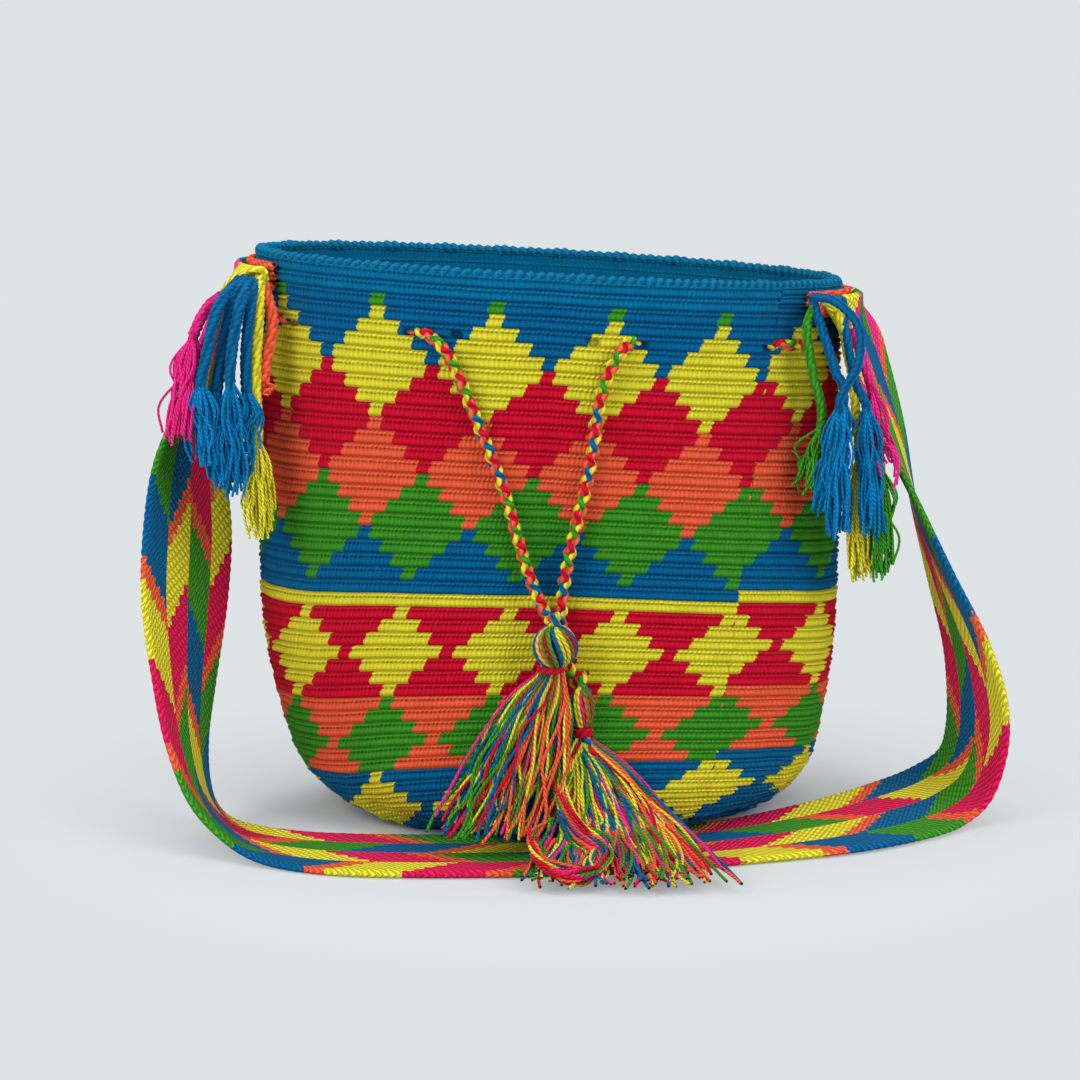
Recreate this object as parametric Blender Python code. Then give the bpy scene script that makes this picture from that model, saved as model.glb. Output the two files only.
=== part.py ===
"""Crochet bucket bag: a body worked in rounds, a woven shoulder strap, a braided drawstring with tassels."""

import math

import bmesh
import bpy
import numpy as np
from mathutils import Vector

# Driving dimensions in metres. +X is the bag's right as seen from the front, the front faces -Y.
BAG_HEIGHT = 0.250
RIM_HALF_WIDTH = 0.130
RIM_HALF_DEPTH = 0.070
BASE_HALF_WIDTH = 0.107
BASE_HALF_DEPTH = 0.100
TAPER_HEIGHT = 0.110
RIM_TILT = 0.055
TOP_LEAN = -0.005
BASE_EDGE_HEIGHT = 0.030
BASE_FLAT_SHARE = 0.72
WALL = 0.0035
RIDGE_DEPTH = 0.0009
ROUND_COUNT = 45
RIM_ROLL = 0.0016
CREASE_DEPTH = 0.004
CREASE_HALF_WIDTH = 0.014
CLEARANCE = 0.0003

# The line on the underside from which the base is lifted over the strap: y of its middle as a share of the
# base's half depth, its slope and curvature along x, and the length of the ramp.
LIFT_DEPTH_SHARE = 0.58
LIFT_SKEW = 0.13
LIFT_BOW = 1.5
LIFT_RAMP = 0.010

EYELET_PAIRS = 8
EYELET_ROUND = 4
FIRST_PAIR_ARC = -0.0507
BRIDGE_HALF_WIDTH = 0.0045
EYELET_OUTER_EDGE = 0.0165
BRIDGE_RECESS = 0.0034
PLAIN_COLUMNS = 1
TIP_COLUMNS = 3

STRAP_WIDTH = 0.064
STRAP_THICKNESS = 0.003
STRAP_COLUMNS = 6
STRAP_END_FLARE = 0.0026
STRAP_STEPS = 2
STRAP_SEAT_ROUNDS = (2.0, 0.9)
RIGHT_SEAM_SHIFT = 0.010
SEAM_ROUNDS = (2.2, 1.5, 0.7)
SEAM_THICKNESS = 0.003
SEAM_GAP = 0.0009

CORD_DIAMETER = 0.005
CORD_STEP = 0.013
STITCH_HALF_LENGTH = 0.018
STITCH_OUTSIDE = 0.0033
STITCH_INSIDE = 0.0056
FRINGE_DIAMETER = 0.004
FRINGE_PITCH = 0.0052
FRINGE_ROOT = 0.0013
FRINGE_START = {"left": 0.0040, "right": 0.0085}
FRINGE_STEP = 0.0120

YARN_COLOURS = {
    "blue": (0.000, 0.141, 0.376),
    "yellow": (0.753, 0.679, 0.032),
    "crimson": (0.546, 0.005, 0.038),
    "orange": (0.831, 0.114, 0.032),
    "green": (0.045, 0.305, 0.013),
    "pink": (0.791, 0.021, 0.223),
}

# Ground colour of the rounds, from the rim down: colour and the round at which it ends.
BODY_BANDS = (
    ("blue", 7),
    ("crimson", 15),
    ("green", 19),
    ("blue", 24),
    ("yellow", 25),
    ("crimson", 32),
    ("orange", 38),
    ("blue", 45),
)

# The strap's middle line from the left rim to the right rim, each with the direction front edge to back edge.
STRAP_ROUTE = (
    ((-0.147, -0.002, 0.245), (0.00, 1.00, 0.00)),
    ((-0.157, -0.008, 0.219), (0.05, 1.00, -0.05)),
    ((-0.166, -0.014, 0.187), (0.13, 0.99, -0.08)),
    ((-0.168, -0.019, 0.162), (0.38, 0.92, -0.08)),
    ((-0.168, -0.026, 0.133), (0.52, 0.85, -0.13)),
    ((-0.169, -0.034, 0.102), (0.50, 0.85, -0.16)),
    ((-0.169, -0.043, 0.068), (0.33, 0.92, -0.22)),
    ((-0.167, -0.054, 0.042), (0.17, 0.97, -0.18)),
    ((-0.161, -0.064, 0.021), (0.02, 0.99, -0.10)),
    ((-0.151, -0.074, 0.009), (-0.13, 0.99, -0.04)),
    ((-0.137, -0.086, 0.0036), (-0.20, 0.97, 0.00)),
    ((-0.115, -0.096, 0.0019), (-0.15, 0.98, 0.00)),
    ((-0.085, -0.103, 0.0019), (-0.05, 1.00, 0.00)),
    ((-0.035, -0.104, 0.0019), (0.00, 1.00, 0.00)),
    ((0.018, -0.099, 0.0019), (-0.12, 0.99, 0.00)),
    ((0.072, -0.083, 0.0019), (-0.30, 0.95, 0.00)),
    ((0.120, -0.065, 0.0045), (-0.35, 0.93, 0.07)),
    ((0.157, -0.039, 0.0068), (-0.33, 0.93, 0.14)),
    ((0.176, -0.020, 0.0095), (-0.28, 0.94, 0.16)),
    ((0.187, -0.015, 0.018), (-0.26, 0.95, 0.10)),
    ((0.1915, -0.0155, 0.035), (-0.30, 0.95, -0.05)),
    ((0.191, -0.0155, 0.055), (-0.28, 0.95, -0.12)),
    ((0.1855, -0.0155, 0.079), (-0.18, 0.96, -0.17)),
    ((0.174, -0.012, 0.109), (-0.03, 0.98, -0.19)),
    ((0.1615, -0.010, 0.1435), (0.08, 0.98, -0.17)),
    ((0.150, -0.006, 0.178), (0.17, 0.97, -0.13)),
    ((0.140, -0.005, 0.2055), (0.22, 0.97, -0.07)),
    ((0.1345, -0.007, 0.223), (0.18, 0.98, -0.05)),
)

# The hanging ends of the drawstring: x, z and how far the cord's surface stands off the body.
LEFT_END_ROUTE = (
    (-0.0525, 0.2215, 0.0016),
    (-0.0455, 0.210, 0.0012),
    (-0.0360, 0.187, 0.0010),
    (-0.0265, 0.163, 0.0010),
    (-0.0205, 0.143, 0.0010),
    (-0.0150, 0.124, 0.0014),
    (-0.0095, 0.110, 0.0040),
    (-0.0045, 0.1016, 0.0078),
)
RIGHT_END_ROUTE = (
    (0.0245, 0.2165, 0.0028),
    (0.0190, 0.205, 0.0012),
    (0.0160, 0.191, 0.0010),
    (0.0140, 0.176, 0.0010),
    (0.0105, 0.158, 0.0010),
    (0.0062, 0.141, 0.0010),
    (0.0030, 0.126, 0.0010),
    (0.0008, 0.112, 0.0008),
    (0.0002, 0.098, 0.0008),
    (0.0022, 0.084, 0.0010),
    (0.0068, 0.0735, 0.0020),
)

# Where each fringe cord hangs after it leaves the strap's front edge, in the order that they leave it.
LEFT_FRINGE = (
    (
        "orange",
        "orange",
        (
            (-0.1225, -0.0460, 0.2290),
            (-0.1285, -0.0470, 0.2130),
            (-0.1335, -0.0475, 0.1960),
        ),
    ),
    (
        "yellow",
        "yellow",
        (
            (-0.1330, -0.0555, 0.2330),
            (-0.1345, -0.0550, 0.2080),
            (-0.1345, -0.0550, 0.1800),
            (-0.1325, -0.0550, 0.1300),
        ),
    ),
    (
        "blue_1",
        "blue",
        (
            (-0.1365, -0.0480, 0.2340),
            (-0.1405, -0.0485, 0.2150),
            (-0.1435, -0.0485, 0.1900),
            (-0.1455, -0.0485, 0.1610),
        ),
    ),
    (
        "blue_2",
        "blue",
        (
            (-0.1395, -0.0550, 0.2350),
            (-0.1455, -0.0550, 0.2180),
            (-0.1500, -0.0550, 0.1980),
            (-0.1475, -0.0550, 0.1560),
        ),
    ),
    (
        "blue_3",
        "blue",
        (
            (-0.1440, -0.0485, 0.2330),
            (-0.1500, -0.0485, 0.2160),
            (-0.1530, -0.0490, 0.1920),
            (-0.1540, -0.0490, 0.1540),
        ),
    ),
    (
        "blue_4",
        "blue",
        (
            (-0.1515, -0.0545, 0.2360),
            (-0.1555, -0.0550, 0.2180),
            (-0.1590, -0.0550, 0.1960),
            (-0.1595, -0.0560, 0.1600),
        ),
    ),
    (
        "pink",
        "pink",
        (
            (-0.1540, -0.0485, 0.2330),
            (-0.1625, -0.0570, 0.2140),
            (-0.1680, -0.0620, 0.1760),
        ),
    ),
)
RIGHT_FRINGE = (
    (
        "green",
        "green",
        (
            (0.1085, -0.0520, 0.2260),
            (0.1050, -0.0520, 0.2060),
            (0.1105, -0.0520, 0.1820),
            (0.1075, -0.0520, 0.1510),
        ),
    ),
    (
        "blue_1",
        "blue",
        (
            (0.1145, -0.0510, 0.2220),
            (0.1170, -0.0455, 0.2060),
            (0.1150, -0.0445, 0.1880),
            (0.1120, -0.0445, 0.1510),
        ),
    ),
    (
        "blue_2",
        "blue",
        (
            (0.1210, -0.0540, 0.2210),
            (0.1245, -0.0535, 0.2060),
            (0.1195, -0.0520, 0.1850),
            (0.1200, -0.0520, 0.1260),
        ),
    ),
    (
        "yellow",
        "yellow",
        (
            (0.1235, -0.0475, 0.2150),
            (0.1250, -0.0445, 0.1960),
            (0.1260, -0.0445, 0.1650),
            (0.1270, -0.0445, 0.1090),
        ),
    ),
    (
        "blue_3",
        "blue",
        (
            (0.1290, -0.0505, 0.2165),
            (0.1310, -0.0490, 0.2000),
            (0.1330, -0.0480, 0.1750),
            (0.1345, -0.0480, 0.1270),
        ),
    ),
    (
        "pink",
        "pink",
        (
            (0.1340, -0.0495, 0.2125),
            (0.1375, -0.0510, 0.1950),
            (0.1385, -0.0530, 0.1520),
        ),
    ),
    (
        "lime",
        "green",
        (
            (0.1370, -0.0430, 0.2030),
            (0.1410, -0.0450, 0.1880),
            (0.1420, -0.0470, 0.1600),
            (0.1440, -0.0480, 0.1080),
        ),
    ),
)

TASSEL_LOBES = 7
TASSEL_SEGMENTS = 14
LOBE_DEPTH = 0.13
TIE_HALF_LENGTH = 0.0018
TASSEL_SEAT = 0.0012

# The skirts: x, y, z of the middle, half width and half thickness. A None y lies against the body.
LEFT_SKIRT = (
    (-0.0045, None, 0.0790, 0.0055, 0.0050),
    (-0.0045, None, 0.0760, 0.0060, 0.0050),
    (-0.0110, None, 0.0660, 0.0120, 0.0055),
    (-0.0180, None, 0.0510, 0.0175, 0.0052),
    (-0.0240, None, 0.0350, 0.0205, 0.0050),
    (-0.0285, -0.1010, 0.0205, 0.0225, 0.0050),
    (-0.0325, -0.1140, 0.0120, 0.0235, 0.0050),
    (-0.0345, -0.1310, 0.0090, 0.0230, 0.0042),
)
RIGHT_SKIRT = (
    (0.0092, None, 0.0500, 0.0042, 0.0042),
    (0.0092, None, 0.0472, 0.0045, 0.0042),
    (0.0130, None, 0.0390, 0.0090, 0.0052),
    (0.0180, -0.1050, 0.0265, 0.0150, 0.0056),
    (0.0215, -0.1190, 0.0155, 0.0215, 0.0060),
    (0.0235, -0.1400, 0.0116, 0.0300, 0.0058),
    (0.0245, -0.1570, 0.0072, 0.0350, 0.0050),
    (0.0255, -0.1750, 0.0054, 0.0380, 0.0040),
)

# Each tassel: where its head hangs, the head's radius and half length, its skirt, and its three yarns.
TASSELS = {
    "left": (-0.0026, 0.0092, 0.0092, LEFT_SKIRT, ("green", "crimson", "orange")),
    "right": (0.0088, 0.0048, 0.0095, RIGHT_SKIRT, ("yellow", "crimson", "pink")),
}


def clear_scene():
    for obj in list(bpy.data.objects):
        bpy.data.objects.remove(obj, do_unlink=True)


def yarn_material(name, colour, roughness=0.85):
    material = bpy.data.materials.new(name)
    material.use_nodes = True
    shader = material.node_tree.nodes["Principled BSDF"]
    shader.inputs["Base Color"].default_value = (*colour, 1.0)
    shader.inputs["Roughness"].default_value = roughness
    material.diffuse_color = (*colour, 1.0)
    return material


def mesh_object(name, bm, materials):
    bmesh.ops.recalc_face_normals(bm, faces=bm.faces)
    mesh = bpy.data.meshes.new(name)
    bm.to_mesh(mesh)
    bm.free()
    for material in materials:
        mesh.materials.append(material)
    mesh.shade_smooth()
    obj = bpy.data.objects.new(name, mesh)
    bpy.context.collection.objects.link(obj)
    return obj


# The body's shape
def section(z):
    """Half width, half depth and sideways lean of the body at a height, before the base's rounded edge."""
    share = 1.0 - (1.0 - min(max(z / TAPER_HEIGHT, 0.0), 1.0)) ** 2
    half_width = BASE_HALF_WIDTH + (RIM_HALF_WIDTH - BASE_HALF_WIDTH) * share
    half_depth = BASE_HALF_DEPTH + (RIM_HALF_DEPTH - BASE_HALF_DEPTH) * share
    return half_width, half_depth, TOP_LEAN * share


def edge_share(z):
    """How much of the section is left at a height inside the base's rounded edge."""
    if z >= BASE_EDGE_HEIGHT:
        return 1.0
    across = math.sqrt(max(0.0, 1.0 - (1.0 - z / BASE_EDGE_HEIGHT) ** 2))
    return BASE_FLAT_SHARE + (1.0 - BASE_FLAT_SHARE) * across


def base_lift(x, y):
    """The base is lifted a little where the strap passes under its front."""
    back_edge = -LIFT_DEPTH_SHARE * BASE_HALF_DEPTH + LIFT_SKEW * x + LIFT_BOW * x * x
    share = min(max((back_edge - y) / LIFT_RAMP + 1.0, 0.0), 1.0)
    return (STRAP_THICKNESS + 3 * CLEARANCE) * share * share * (3 - 2 * share)


def body_point(turn, z):
    """A point of the wall's middle surface. turn 0 is the front, a quarter turn is +X."""
    half_width, half_depth, lean = section(z)
    share = edge_share(z)
    x = half_width * share * math.sin(turn)
    y = -half_depth * share * math.cos(turn)
    if y < 0:
        crease = math.exp(-((x / CREASE_HALF_WIDTH) ** 2))
        y += CREASE_DEPTH * crease * min(1.0, max(0.0, (z - 0.05) / 0.08))
    low = max(0.0, 1.0 - z / BASE_EDGE_HEIGHT)
    return Vector((x + lean, y, z + low * (WALL / 2 + RIDGE_DEPTH + base_lift(x, y))))


def rim_height(turn):
    return BAG_HEIGHT - RIM_TILT * RIM_HALF_WIDTH * math.sin(turn)


def rim_arc_table(count=1440):
    turns = np.linspace(0.0, 2 * math.pi, count + 1)
    x = RIM_HALF_WIDTH * np.sin(turns)
    y = RIM_HALF_DEPTH * np.cos(turns)
    arc = np.concatenate([[0.0], np.cumsum(np.hypot(np.diff(x), np.diff(y)))])
    return turns, arc


ARC_TURNS, ARC_LENGTHS = rim_arc_table()
RIM_LENGTH = float(ARC_LENGTHS[-1])
PAIR_PITCH = RIM_LENGTH / EYELET_PAIRS


def turn_at(arc):
    """The turn at an arc length along the rim, counted from the front towards +X."""
    return float(np.interp(arc % RIM_LENGTH, ARC_LENGTHS, ARC_TURNS))


def meridian(turn, steps=60):
    """Heights and running lengths down one side of the body, from the rim to the flat base."""
    wall = [rim_height(turn) + (BASE_EDGE_HEIGHT - rim_height(turn)) * i / steps for i in range(steps)]
    edge = [BASE_EDGE_HEIGHT * (1 - math.sin(math.pi / 2 * i / 24)) for i in range(25)]
    heights = wall + edge
    points = [body_point(turn, z) for z in heights]
    lengths = [0.0]
    for first, second in zip(points, points[1:]):
        lengths.append(lengths[-1] + (second - first).length)
    return heights, lengths


def wall_point(arc, rounds, offset=0.0):
    """A point at an arc along the rim and a number of rounds down, moved out of the wall by offset."""
    turn = turn_at(arc)
    heights, lengths = meridian(turn)

    def height(count):
        return float(np.interp(count / ROUND_COUNT * lengths[-1], lengths, heights))

    step = 0.002
    middle = body_point(turn, height(rounds))
    above = body_point(turn, height(max(rounds - 0.5, 0.0)))
    below = body_point(turn, height(min(rounds + 0.5, ROUND_COUNT)))
    side = body_point(turn + step, height(rounds)) - body_point(turn - step, height(rounds))
    normal = (below - above).cross(side).normalized()
    return middle + normal * offset


def front_face(x, z):
    """y of the outermost surface of the body's front at a place."""
    half_width, half_depth, lean = section(z)
    share = edge_share(z)
    across = min(1.0, abs(x - lean) / (half_width * share))
    return -half_depth * share * math.sqrt(1.0 - across * across) - WALL / 2 - RIDGE_DEPTH


# The body
def eyelet_columns():
    """Arcs of the body's columns, and for each the kind of strip that starts there."""
    arcs = []
    kinds = []
    for pair in range(EYELET_PAIRS):
        centre = FIRST_PAIR_ARC + pair * PAIR_PITCH
        # The tightly curved ends of the oval take more columns than its flat front and back.
        to_tip = abs((centre + PAIR_PITCH / 2) % (RIM_LENGTH / 2) - RIM_LENGTH / 4)
        count = TIP_COLUMNS if to_tip < PAIR_PITCH / 2 else PLAIN_COLUMNS
        plain = (PAIR_PITCH - 2 * EYELET_OUTER_EDGE) / (count + 1)
        for at, kind in (
            (-EYELET_OUTER_EDGE, "hole"),
            (-BRIDGE_HALF_WIDTH, "bridge"),
            (BRIDGE_HALF_WIDTH, "hole"),
            (EYELET_OUTER_EDGE, "plain"),
        ):
            arcs.append(centre + at)
            kinds.append(kind)
        for i in range(count):
            arcs.append(centre + EYELET_OUTER_EDGE + (i + 1) * plain)
            kinds.append("plain")
    return arcs, kinds


def on_bridge(kinds, column):
    return kinds[column] == "bridge" or kinds[column - 1] == "bridge"


def colour_index(rounds, names):
    for colour, end in BODY_BANDS:
        if rounds < end:
            return names.index(colour)
    return 0


def body_rings(bm, arcs, kinds, rounds, outward):
    """Rings of vertices down one face of the wall. A round's middle stands out as a ridge."""
    rings = []
    for count in rounds:
        ring = []
        ridge = RIDGE_DEPTH if outward > 0 and count % 1.0 == 0.5 else 0.0
        in_eyelet = EYELET_ROUND <= count <= EYELET_ROUND + 1
        for column, arc in enumerate(arcs):
            offset = outward * (WALL / 2 + ridge)
            if in_eyelet and on_bridge(kinds, column):
                offset = outward * WALL / 2 - BRIDGE_RECESS
            ring.append(bm.verts.new(wall_point(arc, count, offset)))
        rings.append(ring)
    return rings


def base_rings(bm, arcs, height):
    """The rings of the flat base inside its rounded edge, and the face that closes them."""
    rings = []
    for share in (0.57, 0.42):
        ring = []
        for arc in arcs:
            turn = turn_at(arc)
            x = BASE_HALF_WIDTH * share * math.sin(turn)
            y = -BASE_HALF_DEPTH * share * math.cos(turn)
            ring.append(bm.verts.new((x, y, height + base_lift(x, y))))
        rings.append(ring)
    return rings


def skin(bm, rings, rounds, kinds, names):
    """Faces between the rings in the colours of their rounds, with the eyelets left open."""
    columns = len(rings[0])
    for i, (upper, lower) in enumerate(zip(rings, rings[1:])):
        middle = (rounds[i] + rounds[i + 1]) / 2 if i + 1 < len(rounds) else ROUND_COUNT
        in_eyelet = EYELET_ROUND < middle < EYELET_ROUND + 1
        for j in range(columns):
            if in_eyelet and kinds[j] == "hole":
                continue
            k = (j + 1) % columns
            face = bm.faces.new((upper[j], lower[j], lower[k], upper[k]))
            face.material_index = colour_index(min(middle, ROUND_COUNT - 1), names)


def line_eyelets(bm, outer, inner, kinds):
    """The short walls of each eyelet, from three outer rings to the three inner rings behind them."""
    columns = len(kinds)
    for j in range(columns):
        if kinds[j] != "hole":
            continue
        k = (j + 1) % columns
        loop = [(0, j), (1, j), (2, j), (2, k), (1, k), (0, k)]
        for (r0, c0), (r1, c1) in zip(loop, loop[1:] + loop[:1]):
            bm.faces.new((outer[r0][c0], outer[r1][c1], inner[r1][c1], inner[r0][c0]))


def make_body(yarn):
    names = list(YARN_COLOURS)
    arcs, kinds = eyelet_columns()
    outer_rounds = [i / 2 for i in range(2 * ROUND_COUNT + 1)]
    inner_rounds = [0.0, 4.0, 4.5, 5.0, 12.0, 20.0, 28.0, 34.0, 38.0, 41.0, 43.5]
    bm = bmesh.new()
    outer = body_rings(bm, arcs, kinds, outer_rounds, 1)
    inner = body_rings(bm, arcs, kinds, inner_rounds, -1)
    crown = [bm.verts.new(wall_point(arc, 0.0) + Vector((0, 0, RIM_ROLL))) for arc in arcs]
    # The underside starts where the wall's outer face meets the floor.
    for vert in outer[-1]:
        vert.co.z = base_lift(vert.co.x, vert.co.y)
    under = base_rings(bm, arcs, 0.0)
    floor = base_rings(bm, arcs, WALL)
    skin(bm, outer + under, outer_rounds, kinds, names)
    first_inner = len(bm.faces)
    skin(bm, inner + floor, inner_rounds, kinds, names)
    bm.faces.ensure_lookup_table()
    for face in bm.faces[first_inner:]:
        face.normal_flip()
    skin(bm, [inner[0], crown, outer[0]], [0.0, 0.0, 0.0], kinds, names)
    bm.faces.new(list(reversed(under[-1])))
    bm.faces.new(floor[-1])
    start = 2 * EYELET_ROUND
    line_eyelets(bm, outer[start : start + 3], inner[1:4], kinds)
    return mesh_object("bag_body", bm, [yarn[name] for name in names])


# Bands
def spline(points, steps):
    """Points of a smooth curve through the given points, ending on the last one."""
    padded = [points[0] * 2 - points[1]] + list(points) + [points[-1] * 2 - points[-2]]
    found = []
    for i in range(1, len(padded) - 2):
        before, here, there, after = padded[i - 1 : i + 3]
        for step in range(steps):
            t = step / steps
            found.append(
                0.5
                * (
                    2 * here
                    + (there - before) * t
                    + (2 * before - 5 * here + 4 * there - after) * t * t
                    + (3 * here - before - 3 * there + after) * t**3
                )
            )
    found.append(points[-1])
    return found


def band_object(name, grid, thickness, material):
    """A closed band of even thickness about a grid of points, one row for each cross-section."""
    rows = len(grid)
    columns = len(grid[0])
    bm = bmesh.new()
    front = []
    back = []
    for i in range(rows):
        front_row = []
        back_row = []
        for j in range(columns):
            along = grid[min(i + 1, rows - 1)][j] - grid[max(i - 1, 0)][j]
            across = grid[i][min(j + 1, columns - 1)] - grid[i][max(j - 1, 0)]
            normal = along.cross(across).normalized() * (thickness / 2)
            front_row.append(bm.verts.new(grid[i][j] + normal))
            back_row.append(bm.verts.new(grid[i][j] - normal))
        front.append(front_row)
        back.append(back_row)
    for i in range(rows - 1):
        for j in range(columns - 1):
            bm.faces.new((front[i][j], front[i + 1][j], front[i + 1][j + 1], front[i][j + 1]))
            bm.faces.new((back[i][j], back[i][j + 1], back[i + 1][j + 1], back[i + 1][j]))
        for j, flip in ((0, False), (columns - 1, True)):
            face = (front[i][j], back[i][j], back[i + 1][j], front[i + 1][j])
            bm.faces.new(tuple(reversed(face)) if flip else face)
    for i, flip in ((0, True), (rows - 1, False)):
        for j in range(columns - 1):
            face = (front[i][j], back[i][j], back[i][j + 1], front[i][j + 1])
            bm.faces.new(tuple(reversed(face)) if flip else face)
    return mesh_object(name, bm, [material])


def tip_arc(side):
    """The arc of the strap's seat at the body's left or right end."""
    shift = RIGHT_SEAM_SHIFT if side > 0 else 0.0
    return side * (RIM_LENGTH / 4 - shift)


def seated_row(side, rounds, width, columns, offset):
    """A row of points across the body's end, front to back, at an offset from the wall's middle."""
    row = []
    for j in range(columns):
        across = (j / (columns - 1) - 0.5) * width
        row.append(wall_point(tip_arc(side) + side * across, rounds, offset))
    return row


def seam_offset():
    return WALL / 2 + RIDGE_DEPTH + SEAM_GAP + SEAM_THICKNESS / 2


def strap_grid():
    seat = seam_offset() + SEAM_THICKNESS / 2 + CLEARANCE + STRAP_THICKNESS / 2
    ends = {}
    for side in (-1, 1):
        ends[side] = [
            seated_row(side, rounds, STRAP_WIDTH, STRAP_COLUMNS, seat + i * STRAP_END_FLARE)
            for i, rounds in enumerate(STRAP_SEAT_ROUNDS)
        ]
    stations = list(ends[-1])
    for centre, across in STRAP_ROUTE:
        direction = Vector(across).normalized() * STRAP_WIDTH
        stations.append(
            [Vector(centre) + direction * (j / (STRAP_COLUMNS - 1) - 0.5) for j in range(STRAP_COLUMNS)]
        )
    stations += reversed(ends[1])
    columns = [spline([row[j] for row in stations], STRAP_STEPS) for j in range(STRAP_COLUMNS)]
    return [list(row) for row in zip(*columns)]


def make_strap(yarn):
    grid = strap_grid()
    band_object("shoulder_strap", grid, STRAP_THICKNESS, yarn["crimson"])
    for side, name in ((-1, "strap_seam_left"), (1, "strap_seam_right")):
        rows = [seated_row(side, rounds, STRAP_WIDTH, STRAP_COLUMNS, seam_offset()) for rounds in SEAM_ROUNDS]
        band_object(name, rows, SEAM_THICKNESS, yarn["orange"])
    return grid


# Cords
def tube(name, points, diameter, resolution, material):
    curve = bpy.data.curves.new(name, "CURVE")
    curve.dimensions = "3D"
    curve.bevel_depth = diameter / 2
    curve.bevel_resolution = resolution
    curve.use_fill_caps = True
    line = curve.splines.new("POLY")
    line.points.add(len(points) - 1)
    for point, place in zip(line.points, points):
        point.co = (*place, 1.0)
    curve.materials.append(material)
    obj = bpy.data.objects.new(name, curve)
    bpy.context.collection.objects.link(obj)
    return obj


def resampled(points, pitch):
    """Points at an even pitch along a dense line, with both of its ends kept."""
    line = np.array([tuple(point) for point in points])
    arc = np.concatenate([[0.0], np.cumsum(np.linalg.norm(np.diff(line, axis=0), axis=1))])
    count = max(2, round(arc[-1] / pitch))
    at = np.linspace(0.0, arc[-1], count + 1)
    return [Vector([float(np.interp(s, arc, line[:, axis])) for axis in range(3)]) for s in at]


def stitch_offset(along):
    """How far the drawstring lies outside the wall's middle, at a distance from a pair's middle."""
    swing = (STITCH_OUTSIDE + STITCH_INSIDE) / 2
    if abs(along) >= STITCH_HALF_LENGTH:
        return -STITCH_INSIDE
    return STITCH_OUTSIDE - swing + swing * math.cos(math.pi * along / STITCH_HALF_LENGTH)


def threaded_points():
    """The drawstring's run from the left eyelet of the first pair, round the back, to the second pair."""
    middle_round = EYELET_ROUND + 0.5
    points = []
    for pair in range(0, -EYELET_PAIRS, -1):
        centre = FIRST_PAIR_ARC + pair * PAIR_PITCH
        steps = [i * STITCH_HALF_LENGTH / 3 for i in range(3, -4, -1)]
        if pair == 0:
            steps = [step for step in steps if step < -STITCH_HALF_LENGTH / 4]
        if pair == 1 - EYELET_PAIRS:
            steps = [step for step in steps if step > STITCH_HALF_LENGTH / 4]
        for along in steps:
            points.append(wall_point(centre + along, middle_round, stitch_offset(along)))
        if pair == 1 - EYELET_PAIRS:
            break
        between = PAIR_PITCH - 2 * STITCH_HALF_LENGTH
        for share in (1 / 3, 2 / 3):
            arc = centre - STITCH_HALF_LENGTH - between * share
            points.append(wall_point(arc, middle_round, -STITCH_INSIDE))
    return points


def hanging_points(route):
    radius = CORD_DIAMETER / 2
    return [Vector((x, front_face(x, z) - off - radius, z)) for x, z, off in route]


def make_drawstring(yarn):
    threaded = threaded_points()
    ends = {}
    routes = (("left", LEFT_END_ROUTE, threaded[0]), ("right", RIGHT_END_ROUTE, threaded[-1]))
    for side, route, start in routes:
        above = head_top(side) + Vector((0, 0, CORD_DIAMETER))
        smooth = spline([start] + hanging_points(route) + [above], 6)
        ends[side] = resampled(smooth, CORD_STEP)[1:] + [head_top(side)]
    points = list(reversed(ends["left"])) + threaded + ends["right"]
    return tube("drawstring", points, CORD_DIAMETER, 2, yarn["crimson"])


def edge_point(edge, distance):
    """The point at a distance along a line of points."""
    for first, second in zip(edge, edge[1:]):
        length = (second - first).length
        if distance <= length:
            return first.lerp(second, distance / length)
        distance -= length
    return edge[-1]


def make_fringe(grid, yarn):
    front_edge = [row[0] for row in grid]
    for side, edge, fringe in (("left", front_edge, LEFT_FRINGE), ("right", front_edge[::-1], RIGHT_FRINGE)):
        for i, (name, colour, hang) in enumerate(fringe):
            root = edge_point(edge, FRINGE_START[side] + FRINGE_PITCH * i) - Vector((0, FRINGE_ROOT, 0))
            route = [root, root - Vector((0, FRINGE_DIAMETER, FRINGE_ROOT))]
            route += [Vector(place) for place in hang]
            points = [root] + resampled(spline(route[1:], 5), FRINGE_STEP)
            tube(f"fringe_{side}_{name}", points, FRINGE_DIAMETER, 2, yarn[colour])


# Tassels
def bundle(name, stations, lobes, material):
    """A closed body lofted through oval sections with lobes, like a gathered bundle of yarns."""
    bm = bmesh.new()
    rings = []
    centres = [Vector(station[:3]) for station in stations]
    for i, (x, y, z, half_width, half_thickness) in enumerate(stations):
        tangent = (centres[min(i + 1, len(centres) - 1)] - centres[max(i - 1, 0)]).normalized()
        if i == 0:
            tangent = Vector((0, 0, -1))
        normal = tangent.cross(Vector((1, 0, 0))).normalized()
        across = normal.cross(tangent).normalized()
        ring = []
        for k in range(TASSEL_SEGMENTS):
            angle = 2 * math.pi * k / TASSEL_SEGMENTS
            reach = 1.0 - LOBE_DEPTH * (0.5 - 0.5 * math.cos(lobes * angle))
            side = across * (half_width * reach * math.cos(angle))
            rise = normal * (half_thickness * reach * math.sin(angle))
            ring.append(bm.verts.new(centres[i] + side + rise))
        rings.append(ring)
    for upper, lower in zip(rings, rings[1:]):
        for k in range(TASSEL_SEGMENTS):
            j = (k + 1) % TASSEL_SEGMENTS
            bm.faces.new((upper[k], lower[k], lower[j], upper[j]))
    bm.faces.new(rings[0])
    bm.faces.new(list(reversed(rings[-1])))
    return mesh_object(name, bm, [material])


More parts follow.
